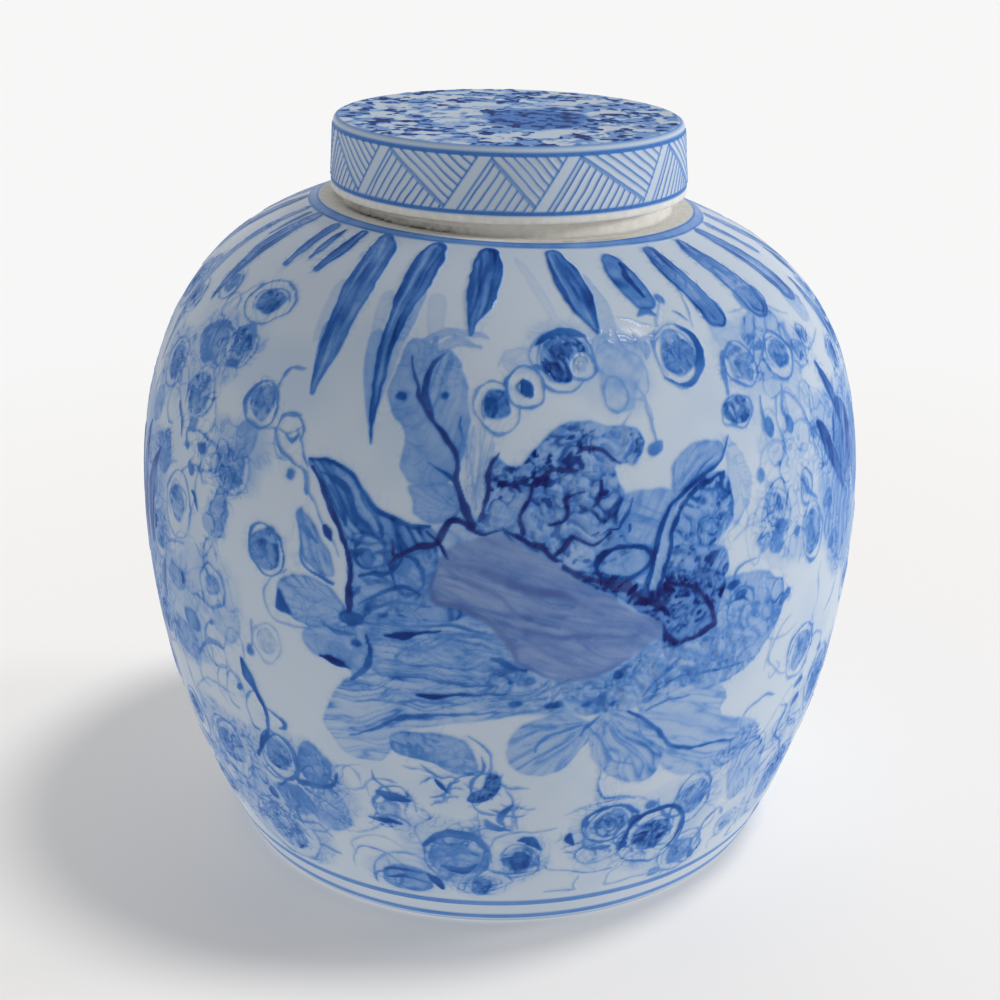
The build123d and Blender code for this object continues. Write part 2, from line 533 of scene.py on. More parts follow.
def paint_side_petal():
    """The petal that stands up at the flower's left, with its branching vein."""
    area([(-15.8, 203), (-16.8, 196), (-17.7, 189.5), (-16.8, 184), (-14.6, 179.3), (-13.7, 174),
          (-14.1, 168.5), (-12.9, 164), (-9.8, 163.5), (-7, 164.5), (-5.8, 171), (-8, 177.7), (-10.8, 183),
          (-11.9, 190), (-11.2, 197), (-12, 203)], 0.42, 0.16, mottled(0.14, 7))
    area([(-11.2, 199), (-9.4, 202), (-6.8, 198), (-5.2, 190), (-4.5, 181), (-5, 172), (-6, 168.5),
          (-7.6, 174), (-10, 181), (-11.6, 188)], 0.4, 0.05, grained(75, 2.6, 0.14))
    area([(-12.9, 163), (-12.2, 158), (-11.7, 154.8), (-9.5, 153), (-6.5, 154.2), (-5.2, 158.5),
          (-6.4, 163.5), (-9.5, 163.8)], 0.42, 0.22, rayed((-5, 156), 60, 0.1))
    stroke([(-14, 203), (-9.5, 207), (-4.5, 206.7), (-2.6, 205.6)], [1, 3, 2, 0.6], 0.36, 0.1, 0.2)
    stroke([(-12.4, 200.5), (-8, 204), (-4, 202.8)], [1, 3.2, 1], 0.28, 0.1, 0.2)
    stroke([(-11.6, 205), (-11, 200)], [1, 2.6], 0.5)
    area([(-4.8, 179), (-1.6, 178), (-0.8, 170), (-2.4, 158), (-3.4, 156), (-4.6, 163)], 0.1, 0,
         rayed((-3.4, 154), 90, 0.3))
    for tip in ((-4.7, 178), (-3.6, 179.5), (-2.4, 178), (-1.4, 175)):
        fine_line([(-3.4, 157), ((tip[0] - 3.6) / 2, 167), tip], 0.8, 0.34)
    stroke([(-3.6, 153.5), (-5.2, 158.5), (-6.4, 164), (-6, 170), (-7.8, 176.5), (-10.6, 182.5), (-12.8, 188),
            (-14, 193), (-15, 199)], [2.6, 2.2, 1.9, 1.4, 1.3, 1.3, 1, 0.7, 0.4], 0.96, tone=0.6, shake=1.0)
    stroke([(-10.4, 182.5), (-11.9, 190), (-11.2, 197), (-9.4, 200.8)], [1.8, 1.9, 1.4, 0.5], 0.82, tone=0.3)
    stroke([(-6.3, 164.5), (-8.3, 167), (-10, 169.5)], [1.4, 0.9, 0.3], 0.8)
    stroke([(-6.2, 170), (-5.6, 176), (-6, 182)], [1.2, 1, 0.3], 0.62)
    blot(-15.5, 187, 1.7, 1.5, 0.9)
    blot(-8.8, 188, 1.1, 0.9, 0.8)


def paint_wing():
    """The dark wing at the flower's left, and the hooked leaf under it."""
    area([(-20.8, 147), (-15.5, 149), (-14.3, 143.5), (-11, 146), (-8.4, 146), (-8.8, 138), (-9.3, 134),
          (-8.9, 130), (-4.4, 127), (-8, 124), (-14, 124), (-19.5, 122.5), (-20.9, 130)], 0.48, 0.2,
         crinkled(0.42, 6))
    area([(-28.3, 166), (-25.6, 167.2), (-22.2, 164.8), (-19.4, 160.3), (-17.5, 156.5), (-15.1, 153.6),
          (-11.7, 151.4), (-9.4, 151.8), (-8.2, 147.5), (-11, 146), (-14.5, 142.5), (-16, 146.5),
          (-20, 147.5), (-21.8, 144.3), (-23, 150), (-24.6, 156), (-26.6, 161.8)], 0.54, 0.3,
         grained(-48, 3.0, 0.3))
    ring((-17.8, 142.6), 5.2, 4.6, 0.72, 1.0)
    blot(-18.3, 141.5, 2.4, 2.6, 0.72)
    ring((-12.6, 137), 4.5, 6, 0.74, 1.1, 20)
    area([(-13.4, 140), (-11, 141), (-9.9, 135), (-12, 130.5), (-13.8, 134)], 0.46, 0.2, mottled(0.2))
    stroke([(-19.6, 135), (-17, 136.5), (-14.8, 138), (-13.2, 142)], [0.6, 1.3, 1.2, 0.6], 0.8)
    stroke([(-19.4, 126), (-16.4, 130.5), (-13.2, 133.5), (-11, 131.5)], [0.6, 1.4, 1.4, 0.7], 0.74)
    stroke([(-27.6, 164.4), (-25.5, 159), (-23.8, 153), (-22.2, 147), (-21.1, 140), (-20.9, 131),
            (-21.2, 124)], [1.0, 1.7, 1.6, 1.5, 1.7, 2.2, 1.4], 0.95, tone=0.45)
    stroke([(-28, 166.6), (-25.2, 167.2), (-21.8, 164.4), (-19, 158.8), (-16.3, 154), (-12, 151.4),
            (-9.6, 151.9)], [0.6, 1, 1.2, 1.3, 1.5, 1.8, 0.8], 0.84)
    stroke([(-26, 163.4), (-22.5, 160.6), (-20.6, 155.5), (-19.8, 150)], [0.8, 2.4, 2, 0.8], 0.82)
    stroke([(-24.6, 160), (-22.6, 155.5), (-21.4, 149.5)], [0.8, 1.8, 0.7], 0.78)
    stroke([(-19.6, 160), (-18.4, 156), (-16.8, 151.5), (-16.2, 147.5)], [0.7, 1.8, 1.5, 0.6], 0.74)
    area([(-29.4, 151.5), (-27.6, 150.5), (-25.4, 145), (-23.6, 138.5), (-23.4, 133.6), (-26.4, 134.5),
          (-28.6, 138), (-29, 143)], 0.34, 0.3, grained(-60, 2.8, 0.2))
    stroke([(-28.6, 138.5), (-27.4, 134.8), (-25, 132.8), (-23.4, 131.6)], [0.5, 1.2, 1.3, 1.4], 0.7)
    stroke([(-28.8, 152), (-28.2, 147), (-26, 142.5)], [1, 2.6, 0.6], 0.55)
    stroke([(-24.9, 147.6), (-24.5, 146), (-24, 144.3)], [1.2, 2.8, 0.8], 0.98, tone=0.3)
    fine_line([(-28.3, 163), (-27.7, 157), (-26.4, 154.6), (-25.4, 149), (-23.6, 144.6), (-22.6, 140)], 0.7,
              0.5)
    for points, widths in (
        ([(-3.6, 153), (-6.2, 154.3), (-7.6, 151.5), (-8.2, 147.3), (-11, 146), (-14.2, 142.8)],
         [2.6, 2.3, 2, 2.3, 2, 1.2]),
        ([(-14.2, 142.8), (-14.9, 147.6)], [1.6, 0.6]),
        ([(-8.2, 147.4), (-6.8, 142)], [2, 0.6]),
        ([(-8.3, 148), (-10.2, 150.6)], [1.5, 0.6]),
        ([(-4.2, 152.6), (-2.4, 150.4), (0, 151.4)], [2.4, 1.2, 0.6]),
        ([(-14.2, 142.8), (-15.6, 139.2)], [1.2, 0.5]),
    ):
        stroke(points, 0.72 * np.array(widths), 1.0, tone=0.8, shake=1.1)


def paint_left_petals():
    """The fans and long petals from the heart of the flower down to its left."""
    area([(-22.8, 100), (-25.6, 91), (-26.3, 85.5), (-25.3, 78.5), (-22.8, 73.8), (-19.5, 73.2),
          (-16.9, 76), (-15.9, 80), (-14, 86), (-9, 89.5), (-3, 91.5), (1, 93), (6, 95), (10, 98),
          (12, 104), (5, 106), (-3, 106), (-12, 105), (-18, 105), (-21, 103)], 0.28, 0.12,
         grained(14, 2.1, 0.26, 3))
    area([(-20, 122), (-14, 125), (-8, 124.5), (-4.4, 127), (-1, 123), (2, 118.5), (2.5, 113), (3, 107),
          (-3, 104), (-9, 104), (-14, 104), (-18, 106), (-19.3, 112), (-18.6, 117)], 0.36, 0.1,
         grained(-4, 2.0, 0.26, 2.6))
    area([(-14.8, 111.5), (-12.5, 115.5), (-8.5, 118.6), (-4.3, 118.3), (-0.8, 115), (1.5, 111), (0, 108.5),
          (-5, 108.2), (-10, 109), (-13.5, 109.2)], 0.36, 0.3, rayed((-17, 109), 56, 0.2))
    area([(-16, 81), (-15.7, 84), (-13.5, 86.2), (-9.7, 86.6), (-6, 85.6), (-3.8, 81), (-3.3, 74.5),
          (-4.5, 71.8), (-7, 72.5), (-9.5, 75.5), (-13, 76.5), (-15.3, 78)], 0.42, 0.26, crinkled(0.3, 6))
    area([(-21.5, 124.5), (-22.5, 127.5), (-24.7, 130.6), (-27.9, 132.4), (-30.7, 131), (-32.6, 127.3),
          (-33, 123), (-31, 119), (-27.6, 116.5), (-24.5, 117.3), (-22, 120)], 0.38, 0.34,
         rayed((-21, 121.5), 60, 0.16))
    area([(-20.5, 120), (-24, 118.5), (-27.4, 116.5), (-28.8, 112), (-27.5, 108.3), (-25.8, 107.3),
          (-21.6, 105.2), (-21.2, 102.5), (-19.2, 106), (-18.1, 111.5), (-18.3, 116.8)], 0.42, 0.12,
         crinkled(0.3, 7))
    area([(-32.4, 126.2), (-33.1, 121), (-32.8, 119.2), (-30.3, 119.1), (-31.3, 122.5)], 0.9, 0.1, wobble=0.2)
    blot(-20.8, 121.6, 4.2, 2.6, 0.86, 10)
    blot(-20.3, 114, 1.7, 1.3, 0.82)
    for points, widths, density in (
        ([(-31, 132.4), (-33.6, 129), (-35.1, 124.5), (-35.2, 120), (-33.5, 115.8), (-30, 115), (-27.2, 116)],
         [0.6, 0.8, 0.9, 0.9, 0.9, 0.8, 0.5], 0.32),
        ([(-26, 108), (-23.6, 107.1), (-21.4, 105.2)], [0.7, 2.4, 0.8], 1.0),
        ([(-21.3, 102), (-19.2, 106.2), (-18.1, 111.5), (-18.4, 117)], [0.9, 1.7, 1.4, 0.6], 0.84),
        ([(-25, 118), (-22.4, 116.2), (-20.4, 116.6)], [0.5, 1.2, 0.6], 0.72),
        ([(-15.8, 118.2), (-13.4, 118.6), (-11, 119.9), (-8, 121)], [0.8, 2.4, 1, 0.4], 1.0),
        ([(-11.7, 99.6), (-9.2, 99.5), (-6.6, 100.2), (-3, 101.1), (0.5, 101.6)], [0.5, 1.8, 1.1, 0.9, 0.5],
         0.88),
        ([(-22.4, 82.3), (-18.1, 85.8), (-15.3, 89.8), (-10.7, 92.6), (-5, 93.8), (0, 94.6)],
         [0.5, 1.1, 1.3, 1.3, 1, 0.6], 0.68),
        ([(-20.6, 95), (-16, 95.8), (-11, 97.4), (-5, 97.6)], [0.4, 0.9, 1, 0.5], 0.56),
        ([(-19, 122.4), (-16.6, 126.8), (-13, 128.4), (-8.5, 128.2)], [0.8, 1.2, 1, 0.5], 0.66),
        ([(-19.4, 121), (-13, 121.6), (-7, 122.8), (-2, 121)], [0.8, 0.9, 0.9, 0.5], 0.6),
        ([(-17, 104.8), (-12, 105.8), (-7, 104), (-1, 103.6)], [0.5, 1, 0.9, 0.5], 0.62),
        ([(-4.4, 86), (-1.8, 81), (-1, 76.5), (-1.6, 72.4), (-3.4, 73.6), (-5.2, 75.8)], [0.5, 0.8, 0.9, 1,
                                                                                          0.8, 0.5], 0.52),
        ([(-1.5, 112.6), (1.4, 109.6), (3.4, 108.6)], [0.8, 2, 1], 0.86),
    ):
        stroke(points, widths, density)


def paint_heart():
    """The smooth grey heart of the flower, and the creased masses around it."""
    area([(2, 112), (5, 106.5), (10.7, 104), (15, 105), (20, 111.5), (23, 114), (28, 112), (33, 113),
          (38, 107), (36.5, 100), (30, 97), (24, 95), (17, 92.5), (10, 93), (4, 94), (-2, 96), (-3, 103),
          (-1, 108)], 0.36, 0.05, crinkled(0.36, 4.2, 0.2))
    area([(17, 159.5), (24.8, 159), (25.5, 154), (23.5, 146), (21.5, 141), (16.5, 144), (15.5, 151)], 0.42,
         0.08, grained(60, 3.2, 0.12))
    area([(24.6, 158.6), (24.8, 163), (25.3, 166.8), (27.2, 170.2), (30.6, 171.3), (33.4, 170.2),
          (34.2, 167.5), (33, 163.5), (30, 160.5), (27, 158)], 0.4, 0.2, rayed((24, 156), 50, 0.16))
    area([(34.5, 171), (37, 166), (38.7, 158), (38, 151), (35, 145), (34, 152), (34.5, 160)], 0.17, 0.14)
    area([(26, 158.5), (29, 160.8), (33, 161.5), (34.7, 157), (34.8, 149), (33.6, 143.5), (30, 141),
          (27, 142.5), (25, 147), (24.5, 153)], 0.46, 0.14, crinkled(0.44, 4.6, 0.2))
    area([(23, 141), (26, 142.5), (30, 141), (33, 138), (33.6, 132), (31, 127.5), (26.5, 126), (22.5, 130),
          (21.3, 135)], 0.48, 0.22, crinkled(0.55, 4.8, 0.25))
    area([(32, 129), (37, 128.8), (41, 127), (44, 122.5), (45.5, 116), (45.3, 110), (43.3, 105),
          (41.5, 100.5), (38, 96), (33.5, 93.5), (29, 95), (30, 101), (31.5, 107), (31.5, 113),
          (31.2, 120)], 0.35, 0.2, crinkled(0.24, 6))
    area([(-1.4, 172), (0.8, 169.5), (2.9, 170), (4.8, 173.5), (6.7, 177.7), (9.1, 181), (12.4, 180.8),
          (15.8, 179.8), (18, 179.3), (20.2, 177), (20.8, 172.7), (19.1, 167.7), (16.4, 167.6), (17, 159.5),
          (16, 151), (18, 143), (12, 139), (9.6, 137.8), (6.2, 142.7), (2.9, 146.8), (0, 149.8),
          (-3.2, 151.5), (-2.2, 158), (-1.8, 165)], 0.44, 0.22, crinkled(0.6, 4.8, 0.4), 0.06)
    area([(9, 138.5), (14, 138), (20, 133), (23, 137), (27, 134), (30.5, 133), (33, 128.5), (32, 121),
          (31.3, 114.5), (27.5, 112), (24.6, 110.8), (23, 114), (22.6, 119.5), (18.6, 125.5), (14, 132)],
         0.6, 0.25, crinkled(0.66, 4.6, 0.4), 0.12)
    area([(12.4, 139), (13.5, 143.5), (16, 145), (20.5, 144.5), (21.5, 141), (20.6, 136.5), (17, 134),
          (13, 135.5)], 0.44, 0.3, mottled(0.2))
    ring((17, 139.6), 8.2, 5.2, 1.0, 1.6, 8)
    area([(-3.1, 149.3), (0, 149.8), (2.9, 146.8), (6.2, 142.7), (9.6, 137.7), (14, 131.8), (18.6, 125),
          (21.9, 121.8), (22.8, 118.5), (22.6, 115.5), (20.5, 112.7), (17.7, 110), (14, 106), (10.7, 105),
          (7, 106.8), (5.1, 110), (2.8, 111.8), (2.3, 114.5), (0, 121.8), (-4.2, 127.3), (-8.8, 130),
          (-9.3, 134.5), (-8.4, 140), (-6.5, 146.5)], 0.44, 0.05, layered, 0.62, soft=1.8)
    stroke([(-9.2, 135), (-8.4, 130.4), (-4.2, 127.3), (-1.2, 124), (0.6, 119.6), (2.2, 114.5), (2.8, 111.6)],
           [1, 2, 1.8, 2, 2, 1.8, 1], 0.66, 0, 0, 0.9, 1.6)
    stroke([(3, 111.4), (6.5, 106.9), (10.6, 105), (15, 106.6), (18.5, 110.4)], [1, 1.4, 1.4, 1.2, 0.6],
           0.6, 0, 0, 0.8, 1.4)
    stroke([(-8, 141), (-3, 140), (4, 134), (9, 131), (14, 125)], [1, 3, 3.4, 3, 1], 0.62, 0, 0, 0.9, 2.2)
    stroke([(-8.4, 137.6), (-4, 136), (-1, 133), (3, 126), (8, 122)], [0.8, 1.4, 1.6, 1.4, 0.6], 0.6, 0, 0,
           0.9, 1.4)
    stroke([(0, 124), (6, 120), (12, 118.4), (19, 117)], [0.8, 1.6, 1.8, 0.8], 0.6, 0, 0, 0.9, 1.6)


def paint_heart_lines():
    """The dark creases and the stalk on the flower's right."""
    for points, widths in (
        ([(0.2, 172.6), (-1.4, 168), (-1.8, 161), (-2.7, 155)], [0.8, 1.9, 2.0, 1.4]),
        ([(2.8, 151), (3.4, 158), (4.4, 163.5), (6.2, 168), (8.6, 168), (11, 167.2)], [1.6, 2, 1.6, 1.8,
                                                                                       2.2, 0.9]),
        ([(0.8, 163.6), (2.4, 163), (3, 161.5)], [1, 2, 0.8]),
        ([(0.4, 152.4), (3.2, 148.2), (5.4, 146.4), (7.6, 142.6)], [0.8, 1.8, 2.2, 1.2]),
        ([(7, 152), (8.8, 155), (9.4, 159.6), (11.4, 160.2)], [1.2, 1.7, 1.5, 0.8]),
        ([(7.4, 144.6), (9.8, 148.6), (12.6, 146), (15.4, 149.4)], [1.8, 1.5, 1.3, 0.7]),
        ([(13.8, 164.4), (13.6, 159.4), (12.4, 157)], [1.2, 2, 0.9]),
        ([(10.6, 172.6), (12.6, 174.4), (15.6, 172), (17.4, 168.6)], [1, 1.9, 1.5, 0.7]),
        ([(8.6, 140), (12.4, 136.2), (16.4, 132.8), (20.2, 128.4), (21.8, 126)], [1.6, 2.6, 3.2, 3.2, 1.6]),
        ([(18.6, 126.6), (21.6, 126), (24, 127.2)], [2.2, 2.8, 1]),
        ([(30.2, 125), (31, 119), (31.2, 115), (28.4, 112.6), (25.4, 110.8)], [1.6, 2.8, 2.8, 2.2, 1.4]),
        ([(22.8, 119), (23.6, 115.6), (25.2, 112)], [1.2, 2.2, 2.2]),
        ([(25, 131.4), (28.4, 128.2), (29.8, 123.4)], [0.9, 1.9, 1.4]),
    ):
        stroke(points, 0.72 * np.array(widths), 0.98, tone=0.85, shake=1.2)
    patch, depth = area([(20.6, 131), (21.9, 139), (23, 148), (25.4, 154.6), (29, 159.6), (28.6, 157.4),
                         (25.8, 152.6), (24.2, 146), (23.2, 138), (22.2, 131)], 0.2, 0, wobble=0.1)
    patch.clear(smooth_step(depth / edge_soft + 0.5), 0.36)
    for points, widths, density in (
        ([(20.2, 130), (21.3, 138.5), (22.3, 147.5), (24.5, 154.3), (28.5, 160.6), (33, 164), (35.3, 171)],
         [1.6, 1.5, 1.4, 1.2, 1.3, 1, 0.4], 0.92),
        ([(22.3, 131), (23.4, 139), (24.4, 147), (26.2, 153.5), (29.5, 158.8), (33.6, 161.4)],
         [1.4, 1.4, 1.2, 1, 1.6, 0.7], 0.92),
        ([(26, 156.4), (29, 162.6), (31.6, 166.2)], [1, 0.9, 0.4], 0.7),
        ([(16.6, 150), (17.4, 154), (18.4, 158.4)], [0.6, 1.2, 0.5], 0.8),
        ([(17.6, 148.4), (17.8, 150.4)], [0.8, 0.8], 0.9),
        ([(18.6, 91.8), (20.9, 88.6), (23.3, 83.6), (25.6, 76.6), (29.8, 72.9), (35, 71.2), (40, 69.6)],
         [1, 1.4, 1.3, 1.3, 1.2, 1, 0.6], 0.76),
        ([(22.6, 97.4), (26, 100.2), (31, 99.2), (38, 98.8)], [0.6, 1, 0.9, 0.5], 0.64),
        ([(20.4, 96.4), (21.8, 99.6), (24.4, 103.4)], [0.5, 1.1, 0.5], 0.7),
        ([(21, 90.8), (24.6, 92.8), (28.4, 92.6)], [0.6, 1, 0.5], 0.66),
        ([(33.6, 120.6), (36.2, 121.6), (37.4, 119.6)], [0.7, 1.5, 0.7], 0.72),
    ):
        stroke(points, widths, density)
    for x, y, wide in (
        (2, 97.4, 2), (7.6, 96.8, 2.6), (12.2, 96.1, 1.7), (4.2, 105.2, 1.6), (16.4, 104.6, 1.3),
        (24.4, 104, 2), (16, 95.4, 1.4), (34.4, 126.2, 3.2), (36.2, 122.8, 2),
    ):
        blot(x, y, wide, 1.1, 0.78, 12)
    ring((36.4, 117), 5.6, 7.5, 0.56, 0.8, gap=0.3)
    ring((44, 115.4), 3.3, 7.2, 0.55, 0.8)
    ring((37.6, 114), 3, 4, 0.52, 0.6, gap=0.2)


def paint_lower_petals():
    """The petals that hang below the heart, with lines that run to their tips."""
    area([(20, 93.5), (28, 94.5), (34, 93), (35.5, 88), (34.5, 84), (37, 79), (41, 76), (44.6, 70),
          (44.3, 64.5), (40, 60.5), (35.3, 59), (30, 62), (25.2, 68), (25, 76), (22, 85)], 0.32, 0.1,
         grained(-26, 2.4, 0.2, 2))
    area([(40, 68), (44.2, 67.5), (47.5, 60), (48.9, 52), (47, 43.5), (43.3, 40.5), (41, 49), (39.6, 58)],
         0.26, 0.14, rayed((42, 68), 60, 0.12))
    area([(12.8, 88), (13.3, 77.5), (15.8, 70.5), (18.6, 65.5), (22.3, 63.2), (24.6, 67), (25.1, 73),
          (24.2, 80), (21.5, 86.5), (18.6, 92), (15, 93)], 0.32, 0.1, rayed((13.4, 95), 56, 0.22))
    area([(12.6, 90.5), (8, 93), (4.5, 91.4), (2, 87.5), (0.9, 82), (1.8, 75.5), (5.1, 71), (8.9, 73),
          (10.7, 77.5), (11.6, 80.5), (12.8, 84)], 0.32, 0.12, rayed((13.6, 90), 50, 0.22))
    fine_line([(12.4, 88.6), (8.6, 87.4), (5.2, 83.6), (5, 80)], 1.0, 0.62)
    fine_line([(12.2, 89), (14.4, 82.6), (16.6, 75), (20.4, 70.8)], 1.0, 0.62)
    fine_line([(11.4, 85), (12.4, 88.4), (14, 91.6)], 0.9, 0.6)
    fine_line([(19.6, 88.8), (21.2, 82), (23.4, 77)], 0.8, 0.56)
    fine_line([(26.4, 76.4), (31, 69.8), (37, 66.4)], 0.8, 0.5)
    fine_line([(43.9, 67.4), (47, 61), (48.6, 53), (46.7, 43.5), (43, 41), (41, 48), (39.8, 57)], 0.8, 0.4)
    fine_line([(44.6, 66), (45.8, 57), (46.2, 50), (44.4, 44.6), (42.4, 47.6)], 0.7, 0.34)
    fine_line([(14.9, 72), (14.9, 64.4), (16.3, 59.8), (19.6, 59), (21.4, 56.6)], 0.9, 0.62)


def paint_shoulder_buds():
    """The chain of buds under the leaves, on the right."""
    ring((2.6, 197), 6, 5.5, 0.2, 0.6, gap=0.4)
    area(oval((2.6, 199), 4.5, 4), 0.16, 0.1)
    area([(15, 206), (19, 207), (23.4, 203), (23, 196), (21, 189), (19.6, 183), (15.8, 185), (15.2, 193),
          (14.6, 200)], 0.32, 0.08, mottled(0.26, 3.4))
    ring((20.6, 194), 5, 7.4, 0.36, 0.6)
    ring((17.4, 188), 3.4, 5.2, 0.42, 0.7)
    fine_line([(20.4, 186), (22.4, 184.6), (23.2, 179.6)], 0.6, 0.34)
    fine_line([(19.6, 182.6), (17.8, 178.8), (17.2, 176)], 0.7, 0.4)
    roundel(9.6, 199.6, 8.6, 9.6, 0.56, 0.78, -10, 0.5, 0.42)
    stroke([(5.6, 203.6), (8.2, 207.6), (11.2, 208), (14, 206.6)], [0.8, 2.4, 2.6, 0.8], 0.78)
    stroke([(5.2, 198), (7.4, 195.6), (10.4, 195), (11.4, 198.6)], [1, 2.6, 2.6, 1], 0.66)
    roundel(12.6, 197.2, 3.6, 4.4, 0.2, 0.5, 0, 0.5, 0.1)
    roundel(-0.7, 185.5, 6.4, 7.6, 0.66, 0.6, 8, 0.5)
    roundel(3.5, 191, 5.2, 5.9, 0.14, 0.3, 20, 0.6)
    stroke([(3.2, 192.8), (3.7, 190.4), (4.2, 189)], [2, 3.8, 1.4], 0.92)
    roundel(29.9, 198, 8, 9.8, 0.5, 0.74, 6, 0.42, 0.3)
    stroke([(31.8, 207), (33.8, 202.4), (33.9, 196.4), (32, 191), (29, 188.4), (26.4, 191.4)],
           [0.8, 2.4, 3, 2.2, 1.4, 0.6], 0.72)
    stroke([(32.9, 212.4), (34, 210.8), (35.1, 208.2)], [0.8, 1.6, 0.5], 0.5)
    fine_line([(20.6, 212.8), (24.6, 210), (27.6, 208.4)], 0.6, 0.4)
    stroke([(23, 205.6), (24.4, 202), (24, 198)], [0.8, 2.6, 0.8], 0.4)
    area([(44.6, 200), (48, 205), (52, 206.6), (57, 204), (56.4, 198), (52, 197), (48, 193.4),
          (45.4, 194.6)], 0.34, 0.1, grained(38, 2.6, 0.26))
    area([(44.4, 190), (47.4, 192), (48.6, 186.6), (52, 181.6), (48, 183), (44.4, 184.4)], 0.36, 0.1,
         mottled(0.24))
    roundel(41.6, 191, 6.8, 7.4, 0.44, 0.8, 0, 0.56, 0.34)
    roundel(51.7, 190.2, 7.3, 8, 0.6, 0.62, 0, 0.6)
    roundel(58.2, 187.8, 3.8, 4.6, 0.4, 0.6, 0, 0.5)
    roundel(62.4, 191, 3.4, 4.4, 0.34, 0.6, 0, 0.4)
    stroke([(38.6, 196.4), (37.6, 190.4), (37.2, 183.6)], [0.8, 2.4, 1.2], 0.62)
    roundel(38, 177.3, 6, 4.9, 0.5, 0.86, 0, 0.5, 0.34)
    stroke([(36.2, 179.4), (35.8, 176.8), (37.2, 174)], [0.8, 1.8, 0.8], 0.78)
    for x, y, wide, tall, tilt in (
        (44.4, 166.6, 4, 9, 4), (51, 168, 5, 11, 10), (47.6, 172, 3, 7, -12), (55, 172, 4, 8, -6),
    ):
        ring((x, y), wide, tall, 0.32, 0.6, tilt)
    blot(43.8, 170, 1.8, 3.2, 0.58)
    blot(48.9, 168.6, 1.8, 3, 0.62)
    stroke([(43.2, 180), (43, 173), (43.8, 168.6)], [0.6, 1.4, 1], 0.5)
    stroke([(49.2, 181), (47.8, 174), (48.6, 170)], [0.6, 1.4, 1], 0.5)
    stroke([(46.6, 166), (46.2, 160.6), (44.6, 158)], [0.8, 1.4, 0.5], 0.5)


def paint_right_buds():
    """The buds and loops down the right side."""
    roundel(43.5, 144, 7.2, 9.4, 0.3, 0.66, -6, 0.42)
    blot(44.4, 139, 2.8, 2.2, 0.66)
    blot(43.4, 135, 3.2, 3.6, 0.5)
    roundel(51.1, 147.4, 3.2, 6, 0.16, 0.5, 0, 0.46)
    stroke([(50.4, 151), (51.6, 146), (54, 141.2)], [0.5, 2, 0.6], 0.56)
    blot(48.2, 135.6, 1.3, 1.6, 0.56)
    roundel(52.8, 132, 6, 9.6, 0.5, 0.76, 4, 0.46)
    blot(40.6, 136.4, 2.6, 3, 0.36)
    ring((38.6, 138), 3, 8, 0.24, 0.6)
    roundel(52.5, 91.6, 8, 9.4, 0.42, 0.7, 4, 0.5)
    fine_line([(45.6, 93.4), (46.8, 90.6), (45.2, 87.4), (44.4, 90)], 0.7, 0.34)
    roundel(63.4, 72, 9, 13, 0.5, 0.78, 8, 0.5)
    roundel(57, 37, 9.6, 14, 0.44, 0.82, -16, 0.42, 0.18)
    fine_line([(50, 73), (52.4, 70.4), (51, 63), (53, 57), (55.6, 61.6), (58, 59), (60, 55)], 1.3, 0.5)
    fine_line([(53.4, 58), (55.8, 50.4), (60, 46)], 1.2, 0.5)
    fine_line([(57.4, 126), (56.6, 131), (58.4, 137)], 1.2, 0.6)
    area([(56.6, 165), (58.8, 163), (60.6, 155), (61.4, 146), (59.4, 150), (57.4, 158)], 0.74, 0.2,
         grained(80, 2.4, 0.2))
    area([(59, 140), (62, 147), (67, 146), (69.4, 136), (68, 124), (64, 116), (60.4, 119), (58, 128)], 0.42,
         0.24, grained(78, 2.8, 0.22))
    area([(62, 160), (66, 168), (70.6, 160), (70, 148), (66, 142), (62.4, 150)], 0.62, 0.24,
         grained(70, 2.6, 0.24))
    area([(70, 156), (74, 163), (79, 154), (78.6, 138), (74, 130), (70.4, 140)], 0.56, 0.24, mottled(0.24))
    stroke([(62, 182), (64.2, 172), (66.4, 159)], [1.4, 5.4, 1.2], 0.8, 0.2, 0.2)
    stroke([(58.2, 162), (60.8, 152), (64.6, 139)], [1.2, 5, 1.2], 0.78, 0.2, 0.2)
    roundel(73, 178, 6, 8, 0.5)
    roundel(71, 104, 7, 9, 0.46)
    roundel(80, 118, 6, 8, 0.5)
    roundel(74, 50, 8, 11, 0.48)
    roundel(84, 72, 7, 9, 0.46)
    roundel(83, 200, 5, 6, 0.5)


